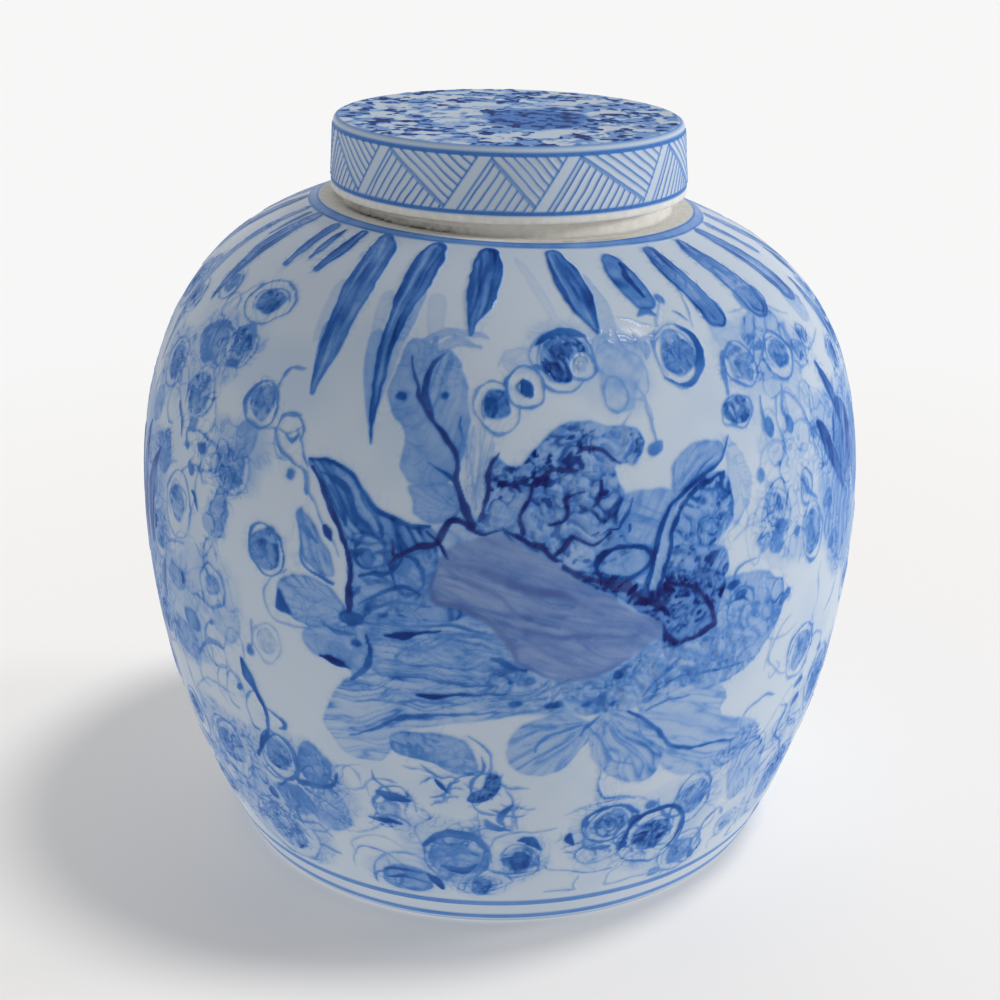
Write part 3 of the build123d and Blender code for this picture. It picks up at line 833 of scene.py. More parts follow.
def paint_foot_flowers():
    """The small flowers and buds above the foot, from the middle to the right."""
    ring((-16.6, 55), 6.6, 9, 0.5, 0.9, gap=0.15)
    stroke([(-19, 61), (-16.8, 60.4), (-14, 59.6)], [1.2, 3.6, 1], 0.72)
    stroke([(-21.2, 49.2), (-18.6, 49.6), (-15.6, 49)], [1.2, 2.4, 1], 0.76)
    blot(-17.4, 54, 3.2, 4.4, 0.34)
    fine_line([(-20.8, 58), (-20.4, 64), (-18.4, 67), (-15.6, 66)], 0.8, 0.46)
    fine_line([(-24.6, 60), (-22, 60.4), (-20.4, 64.6)], 0.9, 0.4)
    fine_line([(-14.8, 58), (-12, 56), (-11, 52), (-13.6, 47), (-12.8, 41)], 0.7, 0.42)
    fine_line([(-12.8, 41), (-12, 35), (-10, 31), (-11, 24)], 0.8, 0.46)
    stroke([(-9.5, 69.6), (-8.9, 67), (-7.7, 64)], [0.8, 2.2, 0.7], 0.8)
    area([(-1.4, 72.8), (-0.2, 70), (-0.6, 64.4), (-2.6, 61), (-4.8, 61.4), (-4.4, 64.4), (-2.6, 66.4),
          (-2.2, 70)], 0.62, 0.3, crinkled(0.6, 3))
    fine_line([(-7.6, 64), (-6.8, 68.6), (-4.6, 71.6), (-2, 72)], 0.8, 0.5)
    fine_line([(-4.6, 61.4), (-3, 57), (-0.4, 55.4), (1.4, 57), (2, 62), (0.6, 67)], 0.8, 0.5)
    stroke([(2, 60), (0.6, 57), (-0.2, 53.4), (0.8, 50.6)], [0.7, 2.6, 2.0, 0.8], 0.7)
    stroke([(-2.2, 53.4), (-1, 50), (1.8, 48.8)], [1, 2.4, 0.8], 0.7)
    fine_line([(-3.6, 36), (-1.4, 42), (-0.4, 45.4), (3, 48), (6, 47.4), (9, 49)], 0.9, 0.46)
    area(oval((-7, 35.4), 9.6, 12, -8), 0.46, 0.2, mottled(0.4, 4))
    stroke([(-12.6, 40), (-10, 45.8), (-7, 47), (-3.8, 45), (-1.8, 39.6)], [1.0, 2.8, 3.6, 2.8, 1.2], 0.7)
    stroke([(-9.8, 31.4), (-6.6, 29.6), (-4, 32)], [1.2, 3.6, 1.2], 0.7)
    stroke([(-8, 37.6), (-5.8, 38.8), (-3.8, 37)], [0.8, 2.2, 0.8], 0.62)
    ring((-7, 35.4), 11, 12.6, 0.5, 0.9, -8, 0.2)
    roundel(-3.2, 22, 4.2, 4.8, 0.62, 0.84, 0, 0.4)
    area([(-21.6, 20.4), (-21, 25), (-18.6, 28), (-15.4, 28.8), (-12.6, 26), (-12, 20), (-13.4, 16),
          (-18, 15.6), (-21, 17)], 0.5, 0.24, mottled(0.26))
    stroke([(-20.6, 24.4), (-17.4, 27), (-14, 26)], [0.8, 1.5, 0.8], 0.74)
    stroke([(-20.8, 21), (-17, 22.4), (-13, 21)], [0.8, 1.3, 0.8], 0.68)
    fine_line([(-23.6, 19), (-21.6, 29), (-18.6, 33.8), (-15, 34.6), (-12, 32.4)], 1.0, 0.46)
    stroke([(-12.6, 26), (-11.2, 23.4), (-10.2, 19)], [1, 3, 1.2], 0.84)
    fine_line([(-8.4, 22), (-6.4, 18), (-3.4, 16.4)], 0.8, 0.36)
    roundel(3.4, 34, 6, 8.2, 0.3, 0.86, 6, 0.46, 0.3)
    blot(3.2, 34.6, 3, 4.2, 0.72)
    stroke([(3, 43.6), (4.6, 44), (6.4, 39.4)], [1, 3.6, 1], 0.8)
    fine_line([(0, 31), (2, 28.4), (5, 28.6), (7.2, 29.6)], 0.9, 0.46)
    roundel(16.4, 34.8, 7, 4.8, 0.14, 0.8, 0, 0.42, 0.2)
    stroke([(15.2, 38), (17, 37.4), (18.6, 37.6)], [1, 2.6, 0.8], 0.76)
    roundel(17.6, 47.4, 8.2, 7.8, 0.42, 0.76, 0, 0.66, 0.3)
    stroke([(13.6, 48.6), (14, 52.6), (17, 55.4), (20.4, 54.6), (22.6, 51)], [1.4, 1.4, 1.2, 1.3, 1.6], 0.8)
    ring((17.8, 47.2), 4.4, 5, 0.7, 0.9)
    stroke([(11.2, 45.4), (11, 43), (12, 40.2)], [0.8, 2.6, 0.8], 0.92)
    ring((12.4, 43.4), 2.4, 3, 0.5, 0.7)
    blot(24.6, 52.8, 2, 2, 0.66)
    blot(22.2, 47.4, 2.4, 2.6, 0.72)
    roundel(32.8, 49.8, 7.4, 10.4, 0.5, 0.7, -6, 0.5)
    roundel(34.4, 23.6, 8.6, 9.6, 0.5, 0.68, 0, 0.46)
    stroke([(37.2, 22), (38, 18)], [1.4, 3.4], 0.66)
    roundel(26.4, 37.6, 11.2, 12.8, 0.64, 0.6, 6, 0.6, 0.3)
    stroke([(20.6, 38), (22, 46), (25, 49.8), (28.6, 49.4), (31.4, 45), (32, 38), (30.4, 30)],
           [1.2, 1.8, 1.9, 1.6, 1.9, 1.7, 1], 0.84)
    stroke([(20.4, 38.6), (20.9, 36.6), (20.6, 34.6)], [1, 2.8, 0.8], 0.84)
    blot(27.8, 36.8, 1.8, 1.8, 0.95)
    ring((46.6, 20), 7, 6, 0.24, 0.6, gap=0.3)
    fine_line([(41, 39), (42, 36.4), (42.8, 34.6)], 1.2, 0.4)
    roundel(45, 28, 5, 6, 0.3, 0.7, 0, 0.3)


def paint_left_field():
    """The crowded buds, loops and leaves on the left side."""
    for x, y, wide, tall, density, core, outline in (
        (-47.3, 206.4, 9.8, 7, 0.62, 0.62, 0.55), (-47.8, 191.5, 6.4, 6.4, 0.44, 0.82, 0.46),
        (-66, 178, 8, 8.4, 0.5, 0.66, 0.5), (-54, 174.6, 7.2, 7.6, 0.42, 0.84, 0.36),
        (-38.9, 177.8, 6.6, 6.6, 0.52, 0.7, 0.6), (-42.3, 157.4, 7, 8, 0.48, 0.86, 0.4),
        (-34.7, 137, 6.8, 7.4, 0.56, 0.9, 0.66), (-56, 138.4, 8.6, 11, 0.46, 0.6, 0.5),
        (-46.5, 118.4, 6.6, 7.2, 0.44, 0.5, 0.5), (-35.3, 106.5, 5.8, 7, 0.14, 0.6, 0.24),
        (-37, 64.6, 7.8, 9.4, 0.56, 0.66, 0.66), (-50, 57, 12, 12.4, 0.46, 0.58, 0.46),
        (-64, 124, 7, 9, 0.5, 0.7, 0.44), (-66, 92, 8, 9, 0.46, 0.7, 0.4),
        (-62, 60, 8, 9, 0.5, 0.66, 0.44), (-42, 27, 15, 12, 0.42, 0.66, 0.44),
        (-60, 32, 9, 9, 0.42, 0.7, 0.36), (-72, 70, 8, 10, 0.46, 0.66, 0.4),
        (-74, 40, 8, 10, 0.44, 0.66, 0.36), (-73, 196, 6, 6, 0.5, 0.66, 0.46),
        (-84, 90, 8, 10, 0.46, 0.66, 0.4), (-86, 56, 8, 9, 0.46, 0.66, 0.4),
        (-62, 206, 5, 5, 0.44, 0.7, 0.4),
    ):
        roundel(x, y, wide, tall, density, core, 14 if wide > tall else 0, outline, 0.3)
    for x, y, wide, tall, density in (
        (-56, 189.6, 8, 6.4, 0.52), (-40.4, 167.4, 5, 5.4, 0.48), (-44.5, 143.6, 4.2, 8, 0.46),
        (-57.6, 114, 6.4, 4.4, 0.5), (-53.6, 102, 5, 4, 0.56), (-57, 93, 9, 7.6, 0.42),
        (-44, 108, 7, 6, 0.22), (-29.8, 66, 6.6, 8.6, 0.5), (-35.4, 47.6, 8, 6.4, 0.58),
        (-28.4, 47.6, 8, 9, 0.38), (-43.6, 45, 5.6, 8, 0.34), (-62, 152, 6, 7, 0.5),
        (-69, 163, 5, 6, 0.42), (-60, 46, 10, 6, 0.3), (-48.2, 186, 3.4, 1.4, 0.7),
        (-46, 138.4, 5, 4, 0.3), (-31, 161, 1.7, 1.6, 0.56), (-38.8, 102, 1.8, 2.2, 0.6),
        (-41.3, 45.6, 2.2, 2.4, 0.74),
    ):
        blot(x, y, wide, tall, density)
    for x, y, wide, tall, density in (
        (-32.6, 171, 4.8, 6.8, 0.46), (-47.5, 156, 4.6, 6, 0.34), (-42.6, 98, 5, 9, 0.3),
        (-39.8, 79.6, 4, 7.4, 0.6), (-44.2, 84, 4.4, 7, 0.42), (-46.6, 128, 3.4, 6, 0.26),
        (-53, 122, 9, 9, 0.2), (-43.8, 44.6, 7.4, 9.4, 0.44), (-51.6, 90, 6, 11, 0.3),
        (-24, 63, 4.6, 6, 0.28), (-57, 201, 4, 4, 0.36), (-61, 170, 6, 9, 0.5),
    ):
        ring((x, y), wide, tall, density, 0.7, -8, 0.1)
    for points, widths, density in (
        ([(-32.8, 190.4), (-34.8, 190.4), (-36.2, 186.8), (-36.8, 180.6)], [0.7, 1.3, 1.2, 1], 0.56),
        ([(-34.4, 176.4), (-32.6, 177.4), (-31, 177.8)], [0.8, 1.6, 0.6], 0.52),
        ([(-33, 171.4), (-31.6, 170), (-30.6, 172.4)], [0.8, 1.5, 0.7], 0.6),
        ([(-35, 172), (-33.6, 167), (-31, 164.4), (-28.8, 162.6), (-28, 157)], [0.9, 1.2, 1.2, 1.3, 1.4],
         0.6),
        ([(-31, 173), (-29.2, 168), (-28.2, 164)], [0.8, 1.1, 0.8], 0.56),
        ([(-54.2, 158.4), (-54.8, 162), (-52, 164), (-47, 162.6), (-43.4, 161)], [2, 1.4, 1.1, 1, 0.6], 0.5),
        ([(-51.6, 145.6), (-50.6, 144.6), (-49.6, 140.2)], [0.8, 2.2, 0.6], 0.84),
        ([(-59.4, 169), (-57.4, 165.6), (-56.6, 160)], [1, 1.6, 0.8], 0.6),
        ([(-41.2, 97.4), (-40.3, 92), (-38.6, 85.6), (-37.6, 80), (-38, 74), (-39.4, 68.6), (-42.2, 60.4)],
         [1.4, 4.2, 2.2, 1.5, 1.7, 2.2, 1], 0.8),
        ([(-37.4, 82), (-34.6, 80.2), (-34, 78), (-35.4, 76.4)], [0.8, 1.7, 1.6, 0.8], 0.62),
        ([(-38, 71.4), (-36, 73), (-34, 70), (-33.2, 63), (-34.6, 57), (-38.6, 51)], [1, 1.4, 1.8, 2, 1.4,
                                                                                      0.7], 0.7),
        ([(-33.6, 56.6), (-30, 57.6), (-26.8, 60), (-25.8, 65)], [2.6, 2, 1.4, 0.7], 0.66),
        ([(-38.8, 42), (-36.4, 36.8), (-32.4, 38.8), (-30, 34.4)], [1.4, 1.2, 1.1, 0.6], 0.56),
        ([(-33.6, 27.4), (-32.2, 27.8), (-29.4, 26)], [0.8, 1.7, 0.6], 0.54),
        ([(-50, 28), (-46, 33), (-42, 36.4), (-38, 34), (-35.4, 28)], [1, 1.6, 2.4, 2.2, 1], 0.46),
        ([(-53.6, 60), (-51.6, 66), (-47.4, 67.4), (-44, 64), (-42.4, 58)], [0.9, 1.2, 1.1, 1, 0.6], 0.5),
        ([(-38, 112.6), (-38.4, 105), (-39.4, 101)], [0.7, 1.1, 1.2], 0.46),
        ([(-60, 123.6), (-56, 126.6), (-53.6, 127.6)], [1, 1.2, 0.7], 0.44),
        ([(-55.4, 116.8), (-54.8, 115), (-55.2, 113.4)], [1, 2.4, 0.9], 0.84),
        ([(-52.6, 111.4), (-50.4, 112.4), (-47, 111), (-44.6, 113.4)], [0.8, 1.3, 1, 0.5], 0.5),
        ([(-53, 90), (-50.6, 95.6), (-47.6, 98.6), (-45.4, 98.4)], [0.8, 1.3, 2.2, 0.8], 0.56),
        ([(-58.6, 71), (-55, 78), (-50.4, 82.4), (-44.4, 82)], [0.6, 0.9, 0.9, 0.5], 0.3),
        ([(-60, 190), (-57.6, 193.6), (-54.4, 196), (-51.6, 195)], [0.8, 2, 1.6, 0.7], 0.56),
        ([(-57.8, 184), (-54.6, 185.6), (-52, 183.6)], [0.8, 2.2, 0.7], 0.6),
        ([(-50.4, 195.6), (-47.6, 196.8), (-45.4, 193.6)], [0.6, 1.6, 0.6], 0.5),
    ):
        stroke(points, widths, density, 0.1, 0.1)


def paint_left_leaves():
    """The dark leaves at the left edge, with washes below them."""
    for points, widths, density in (
        ([(-64, 152), (-67, 142), (-68.4, 130), (-68, 118)], [1, 6, 8, 2], 0.78),
        ([(-71, 156), (-72.6, 144), (-73, 130), (-72, 116)], [1, 6, 8, 2], 0.74),
        ([(-78, 150), (-78.6, 138), (-78, 122), (-76.6, 108)], [1, 6, 9, 2], 0.76),
        ([(-62, 116), (-63.4, 110), (-63, 103)], [1, 4, 1.4], 0.66),
        ([(-84, 160), (-85.4, 146), (-85, 132)], [1, 6, 1.6], 0.7),
    ):
        stroke(points, widths, density, 0.24, 0.3, 0.2)
    area([(-79, 112), (-73, 110), (-70, 98), (-71, 82), (-76, 74), (-80, 86)], 0.32, 0.14,
         grained(80, 3, 0.16))
    area([(-70, 112), (-65, 108), (-62, 100), (-64, 90), (-69, 96)], 0.26, 0.1, mottled(0.14))


def wandering(start, scale, heading, bends, reach, limits):
    """A line that turns by each of the bends before a step of a reach in mm, kept between two arcs."""
    points = [start]
    for bend in bends:
        heading += bend
        x, y = points[-1]
        points.append((x + reach * cos(heading) / scale, y + reach * sin(heading)))
    return [(x, min(max(y, limits[0]), limits[1])) for x, y in points]


def paint_vines():
    """Thin curling tendrils that tie the buds together."""
    spots = [(-58, 196), (-52, 182), (-46, 172), (-50, 164), (-57, 152), (-49, 150), (-40, 150), (-52, 130),
             (-59, 106), (-49, 112), (-45, 92), (-55, 84), (-47, 76), (-58, 70), (-44, 66), (-33, 74),
             (-47, 38), (-53, 44), (-37, 36), (-26, 40), (46, 178), (57, 176), (41, 164), (47, 156),
             (56, 156), (39, 132), (47, 128), (56, 120), (48, 108), (50, 104), (43, 92), (47, 80), (56, 84),
             (59, 100), (42, 56), (50, 58), (40, 30), (50, 26), (38, 44), (10, 54), (6, 40), (22, 26),
             (14, 24), (-27, 22), (-26, 30), (20, 204), (15, 196), (35, 206), (62, 200), (-66, 190),
             (-70, 172), (-80, 180), (70, 190), (78, 168), (68, 90), (78, 92), (80, 60), (66, 56),
             (-80, 60), (-68, 50), (-90, 74), (-70, 24), (70, 26), (86, 36), (-86, 30), (88, 150)]
    for i, (x, y) in enumerate(spots):
        rolls = corner_value(i, np.arange(12), 1, 91)
        bends = 1.6 * (rolls[1] - 0.5) + 1.1 * (rolls[3:9] - 0.5)
        scale = np.interp(y, arc, mm_per_degree)
        points = wandering((x, y), scale, 2 * pi * rolls[0], bends, 4.2 + 2 * rolls[2], (17, 234))
        fine_line(points, 0.55 + 0.5 * rolls[9], 0.24 + 0.3 * rolls[10])
        if rolls[11] > 0.45:
            half_width, half_height = 1.6 + 1.6 * rolls[2], 1.2 + 1.6 * rolls[1]
            blot(*points[-1], half_width, half_height, 0.3 + 0.4 * rolls[11], 40 * rolls[4])


def paint_tangles():
    """Short frizzy lines through the small flowers above the foot. They leave the next marks' seeds alone."""
    global brush_count
    brushes_so_far = brush_count
    clusters = [(-17, 55, 7), (-8, 66, 5), (-2, 68, 6), (1, 55, 6), (-7, 38, 9), (-17, 22, 6), (-3, 22, 4),
                (4, 36, 6), (17, 42, 8), (27, 40, 8), (33, 26, 7), (-30, 60, 8), (-36, 45, 8), (-44, 34, 9),
                (-50, 58, 8)]
    for i, (x, y, wide) in enumerate(clusters):
        scale = np.interp(y, arc, mm_per_degree)
        for k in range(6):
            rolls = corner_value(i, k, np.arange(10), 97)
            away = 2 * pi * rolls[0]
            start = (x + wide * cos(away) / scale, y + wide * sin(away))
            heading = away + 2.2 + 1.2 * rolls[1]
            reach = wide * (0.34 + 0.2 * rolls[2])
            points = wandering(start, scale, heading, 1.5 * (rolls[3:8] - 0.5), reach, (15.5, 240))
            fine_line(points, 0.5 + 0.7 * rolls[9], 0.34 + 0.34 * rolls[8])
    brush_count = brushes_so_far


def paint_underwash():
    """The thin first washes, under the flower and behind the crowded buds."""
    area([(-20, 126), (-19, 145), (-13, 150), (-8, 152), (-5, 156), (-2, 156), (0, 165), (6, 172),
          (14, 172), (17, 160), (25, 158), (32, 155), (33, 142), (34, 129), (42, 124), (43, 112), (39, 102),
          (34, 94), (20, 93), (10, 93), (0, 95), (-10, 96), (-19, 101), (-19, 110), (-19, 118)], 0.33, 0,
         grained(-20, 3, 0.2), soft=4)
    for points, density in (
        ([(-62, 196), (-50, 200), (-43, 193), (-46, 184), (-52, 178), (-62, 182)], 0.2),
        ([(-72, 184), (-62, 188), (-57, 176), (-62, 168), (-71, 170)], 0.18),
        ([(-47, 168), (-38, 173), (-36, 162), (-39, 151), (-46, 152)], 0.24),
        ([(-53, 130), (-44, 128), (-40, 116), (-44, 100), (-54, 104), (-57, 118)], 0.13),
        ([(-62, 120), (-53, 118), (-50, 104), (-52, 88), (-62, 84), (-66, 100)], 0.2),
        ([(-58, 72), (-44, 72), (-33, 74), (-25, 66), (-23, 52), (-28, 40), (-40, 40), (-56, 44)], 0.2),
        ([(-52, 42), (-36, 44), (-30, 32), (-36, 16), (-50, 16), (-55, 28)], 0.24),
        ([(-16, 50), (-4, 52), (2, 46), (8, 42), (6, 28), (-2, 18), (-14, 26)], 0.17),
        ([(-24, 28), (-14, 34), (-10, 24), (-14, 15), (-23, 16)], 0.16),
        ([(12, 54), (24, 58), (36, 60), (40, 48), (36, 30), (40, 18), (32, 14), (22, 24), (14, 30)], 0.13),
        ([(5, 210), (16, 210), (24, 204), (24, 190), (19, 182), (12, 190), (4, 196)], 0.14),
        ([(38, 200), (50, 207), (58, 204), (60, 190), (54, 180), (40, 182)], 0.2),
        ([(41, 181), (55, 180), (56, 164), (48, 157), (41, 164)], 0.12),
        ([(38, 148), (48, 156), (56, 150), (57, 128), (48, 126), (40, 132)], 0.1),
        ([(47, 60), (58, 76), (70, 84), (72, 60), (60, 50)], 0.12),
        ([(48, 50), (60, 56), (66, 40), (58, 22), (48, 28)], 0.16),
        ([(56, 168), (66, 172), (78, 168), (82, 140), (76, 112), (62, 112), (56, 130)], 0.3),
        ([(-84, 164), (-70, 160), (-62, 152), (-60, 120), (-64, 100), (-70, 76), (-84, 72)], 0.3),
    ):
        area(points, density, 0.02, mottled(0.16, 9), soft=6, wobble=2.5)


def paint_scene():
    """Everything between the bands, once around half the jar."""
    paint_underwash()
    paint_ghosts()
    paint_vines()
    paint_left_field()
    paint_left_leaves()
    paint_right_buds()
    paint_foot_flowers()
    paint_tangles()
    paint_lower_petals()
    paint_left_petals()
    paint_side_petal()
    paint_wing()
    paint_heart()
    paint_heart_lines()
    paint_shoulder_buds()
    paint_leaves()


def smeared(values, reach):
    """A field of the wall, spread over its neighbours up to about a reach in millimetres."""
    count = ceil(2 * reach / grid_step)
    weights = np.exp(-((np.arange(-count, count + 1) * grid_step / reach) ** 2))
    weights /= weights.sum()
    for axis in (0, 1):
        values = sum(w * np.roll(values, k - count, axis) for k, w in enumerate(weights))
    return values


def feather():
    """What wet pigment does: soft edges, a faint haze, and fine tangled lines through all the brushwork."""
    near = smeared(ink, 3.2)
    sides = smooth_step((abs(np.sin(np.radians(angle))) - 0.42) / 0.3)[None, :]
    low = smooth_step((78 - arc) / 20)[:, None]
    busy = np.maximum(sides, low)
    ink[:] = 0.55 * ink + 0.45 * smeared(ink, 0.8)
    bend = np.stack([noise(wall_points, 10, 401 + k) for k in range(3)], -1) - 0.5
    weave = cloud(wall_points + 11 * bend, 10, 3, 405)
    thread = np.exp(-((((weave * 6) % 1 - 0.5) / 0.10) ** 2))
    loose = cloud(wall_points + 6 * bend, 4.5, 2, 411)
    thread = np.maximum(thread, 0.8 * np.exp(-(((loose - 0.5) / 0.03) ** 2)))
    patchy = smooth_step(cloud(wall_points, 14, 2, 421) * 2.4 - 0.7)
    reach = smooth_step((near - 0.03) / 0.13) * (1 - np.minimum(1.3 * violet, 1))
    reach *= 1 - smooth_step((ink - 0.42) / 0.25)
    ink[:] += reach * thread * (0.3 + patchy) * (0.08 + 0.20 * busy)
    ink[:] += (0.04 + 0.12 * busy) * np.minimum(near, 0.5) * smooth_step((0.3 - ink) / 0.3) * (0.4 + patchy)
    ink[:] *= 1 + 0.34 * (cloud(wall_points, 5, 3, 431) - 0.5)


def paint_sides():
    """The buds and sprigs that fill the jar's two sides, between the scenes."""
    for centre, seed in ((92, 601), (-92, 641)):
        area([(centre - 13, 60), (centre - 15, 110), (centre - 12, 190), (centre + 10, 196),
              (centre + 13, 120), (centre + 12, 50)], 0.12, 0.02, mottled(0.2, 9), soft=8, wobble=3)
        for i in range(15):
            rolls = corner_value(i, np.arange(8), 1, seed)
            x, y = centre + 26 * (rolls[0] - 0.5), 24 + 13.2 * i + 8 * (rolls[1] - 0.5)
            if i % 3 == 2:
                lean = 8 * (rolls[2] - 0.5)
                widths = [1.2, 4.4 + 2 * rolls[3], 1]
                stroke([(x, y + 11), (x + lean / 2, y + 3), (x + lean, y - 10)], widths, 0.62, 0.3, 0.3)
                fine_line([(x, y + 11), (x - lean, y + 17), (x + 2 - lean, y + 24)], 0.9, 0.5)
            else:
                roundel(x, y, 5 + 4 * rolls[2], 6 + 4 * rolls[3], 0.42 + 0.2 * rolls[4],
                        0.6 + 0.24 * rolls[5])
                blot(x + 5 * (rolls[6] - 0.5), y + 9, 3 + 2 * rolls[6], 2 + 2 * rolls[7], 0.4, 40 * rolls[7])


def band(middle, width, density, seed):
    """A line drawn around the jar on the wheel."""
    wander = 0.6 * (noise(wall_points, 30, seed) - 0.5)
    depth = width / 2 - abs(arc[:, None] - middle - wander)
    shade = 0.14 * np.exp(-np.maximum(depth, 0) / 0.35) + 0.16 * (cloud(wall_points, 9, 3, seed + 4) - 0.5)
    cover = smooth_step(depth / edge_soft + 0.5)
    ink[:] = np.maximum(ink, ink + cover * (density + shade - ink))


def shoulder_band():
    """The blue band beside the ledge: narrow in front, wide and dark-edged at the sides."""
    side = abs(np.sin(np.radians(angle)))[None, :] ** 1.5
    width = 2.3 + 1.3 * side + 0.5 * (noise(wall_points, 12, 71) - 0.5)
    inner = wall_length - 0.2
    depth = np.minimum(inner - arc[:, None], arc[:, None] - (inner - width))
    cover = smooth_step(depth / edge_soft + 0.5)
    density = 0.52 + 0.36 * np.exp(-((np.maximum(depth, 0) / 0.5) ** 2)) * (0.4 + 0.6 * side)
    density = density + 0.24 * (cloud(wall_points, 7, 3, 72) - 0.5)
    ink[:] = np.maximum(ink, cover * density)


def paint_wall():
    """The whole wall: the front, the same hand's work behind, painted shade at the foot, and the bands."""
    global turn, brush_count
    brush_count = 5000
    paint_sides()
    brush_count = 0
    for turn in (180.0, 0.0):
        paint_scene()
    feather()
    haze = smooth_step((cloud(wall_points, 30, 3, 51) - 0.50) / 0.3) * 0.09
    ink[:] = np.maximum(ink, haze * smooth_step((230 - arc[:, None]) / 30))
    # painted shade: a faint blue darkening at the very bottom of the wall, where it turns under to the foot
    foot_edge_shade = 0.24 * smooth_step((2.4 - arc[:, None]) / 1.0)
    ink[:] = np.maximum(ink, foot_edge_shade)
    band(3.8, 2.3, 0.56, 61)
    band(11.6, 2.5, 0.56, 62)
    shoulder_band()


paint_wall()


# ---------------------------------------------------------------- meshes


def rounded(before, corner, after, size, count=5):
    """Points of a curve that rounds a corner off."""
    b, c, a = (np.array(p, float) for p in (before, corner, after))
    start = c + (b - c) * min(size / np.hypot(*(b - c)), 0.5)
    end = c + (a - c) * min(size / np.hypot(*(a - c)), 0.5)
    t = np.linspace(0, 1, count)[:, None]
    return (1 - t) ** 2 * start + 2 * (1 - t) * t * c + t**2 * end


def run(start, end, step):
    """Points from one to another, with neither end."""
    start, end = np.array(start, float), np.array(end, float)
    count = max(1, ceil(np.hypot(*(end - start)) / step))
    return start + (end - start) * (np.arange(1, count) / count)[:, None]


def outline(corners, step):
    """A line through corners, each with the size that it is rounded to."""
    parts = [np.array([corners[0][:2]], float)]
    for before, corner, after in zip(corners[:-2], corners[1:-1], corners[2:]):
        bend = rounded(before[:2], corner[:2], after[:2], corner[2])
        parts += [run(parts[-1][-1], bend[0], step), bend]
    last = np.array(corners[-1][:2], float)
    return np.vstack(parts + [run(parts[-1][-1], last, step), last[None]])


def ring_faces(counts):
    """Faces between rings of points, where a ring has as many points as the next, or twice, or half."""
    starts = np.concatenate([[0], np.cumsum(counts)])
    quads, tris = [], []
    for k, (lower, upper) in enumerate(zip(counts[:-1], counts[1:])):
        a, b = starts[k], starts[k + 1]
        i = np.arange(min(lower, upper) if min(lower, upper) > 1 else max(lower, upper))
        j = (i + 1) % len(i)
        if lower == upper:
            quads.append(np.stack([a + i, a + j, b + j, b + i], -1))
        elif lower == 2 * upper:
            odd = a + 2 * i + 1
            tris.append(np.stack([a + 2 * i, odd, b + i], -1))
            tris.append(np.stack([b + i, odd, b + j], -1))
            tris.append(np.stack([odd, a + 2 * j, b + j], -1))
        elif 2 * lower == upper:
            odd = b + 2 * i + 1
            tris.append(np.stack([a + i, odd, b + 2 * i], -1))
            tris.append(np.stack([a + i, a + j, odd], -1))
            tris.append(np.stack([a + j, b + 2 * j, odd], -1))
        elif lower == 1:
            tris.append(np.stack([a + 0 * i, b + j, b + i], -1))
        else:
            tris.append(np.stack([a + i, a + j, b + 0 * i], -1))
    return np.vstack(quads), np.vstack(tris)


def face_places(faces, counts):
    """For each corner of each face: its ring, the face's first ring, and its share of the way around."""
    starts = np.concatenate([[0], np.cumsum(counts)])
    many = np.array(counts)
    ring = np.searchsorted(starts, faces, "right") - 1
    share = (faces - starts[ring]) / many[ring]
    wraps = share.max(1, keepdims=True) - share.min(1, keepdims=True) > 0.5
    share = np.where(wraps & (share < 0.5), share + 1, share)
    pole = many[ring] == 1
    others = np.where(pole, 0, share).sum(1, keepdims=True) / 2
    return ring, ring.min(1, keepdims=True), np.where(pole, others, share)


def ring_points(rings, counts, centre=0.0):
    """Points of rings with their own counts, about an upright axis at a place along X."""
    out = []
    for (r, z), count in zip(rings, counts):
        a = np.arange(count) * 2 * pi / count - pi
        out.append(np.stack([centre + r * np.sin(a), -r * np.cos(a), z + 0 * a], -1))
    return np.vstack(out)


def make_mesh(name, points, counts, fields, chart, material):
    """A closed mesh from rings of points in millimetres, with its painting and its map."""
    quads, tris = ring_faces(counts)
    loops = np.concatenate([quads.ravel(), tris.ravel()]).astype(np.int32)
    sizes = np.concatenate([np.full(len(quads), 4), np.full(len(tris), 3)])
    starts = np.concatenate([[0], np.cumsum(sizes)[:-1]]).astype(np.int32)
    mesh = bpy.data.meshes.new(name)
    mesh.vertices.add(len(points))
    mesh.loops.add(len(loops))
    mesh.polygons.add(len(sizes))
    mesh.vertices.foreach_set("co", (points * MM).astype(np.float32).ravel())
    mesh.loops.foreach_set("vertex_index", loops)
    mesh.polygons.foreach_set("loop_start", starts)
    mesh.polygons.foreach_set("use_smooth", np.ones(len(sizes), bool))
    map_layer = mesh.uv_layers.new(name="OFBake")
    places = [chart(faces, *face_places(faces, counts)).ravel() for faces in (quads, tris)]
    map_layer.data.foreach_set("uv", np.concatenate(places).astype(np.float32))
    mesh.update(calc_edges=True)
    for field, values in fields.items():
        layer = mesh.attributes.new(field, "FLOAT", "POINT")
        layer.data.foreach_set("value", np.asarray(values, np.float32))
    mesh.materials.append(material)
    piece = bpy.data.objects.new(name, mesh)
    bpy.context.scene.collection.objects.link(piece)
    return piece


def lean_share(z):
    """How much of the ledge's shift and lean a point of the jar has, from its height."""
    rising = smooth_step((np.interp(z, height, arc) - lean_from) / (wall_length - lean_from))
    return np.where(z <= ledge_height, rising, 1 - smooth_step((z - ledge_height) / 8))


def jar_underside():
    """Radius and height from the middle of the foot's recess, over the foot ring, to the wall."""
    foot_inside = on_flank(0) - foot_ring_width
    corners = [(0, foot_recess, 0), (foot_inside, foot_recess, 1.5), (foot_inside, 0, foot_round),
               (on_flank(0), 0, foot_round), (radius[0], foot_round, 0)]
    return outline(corners, plain_step)[:-1]


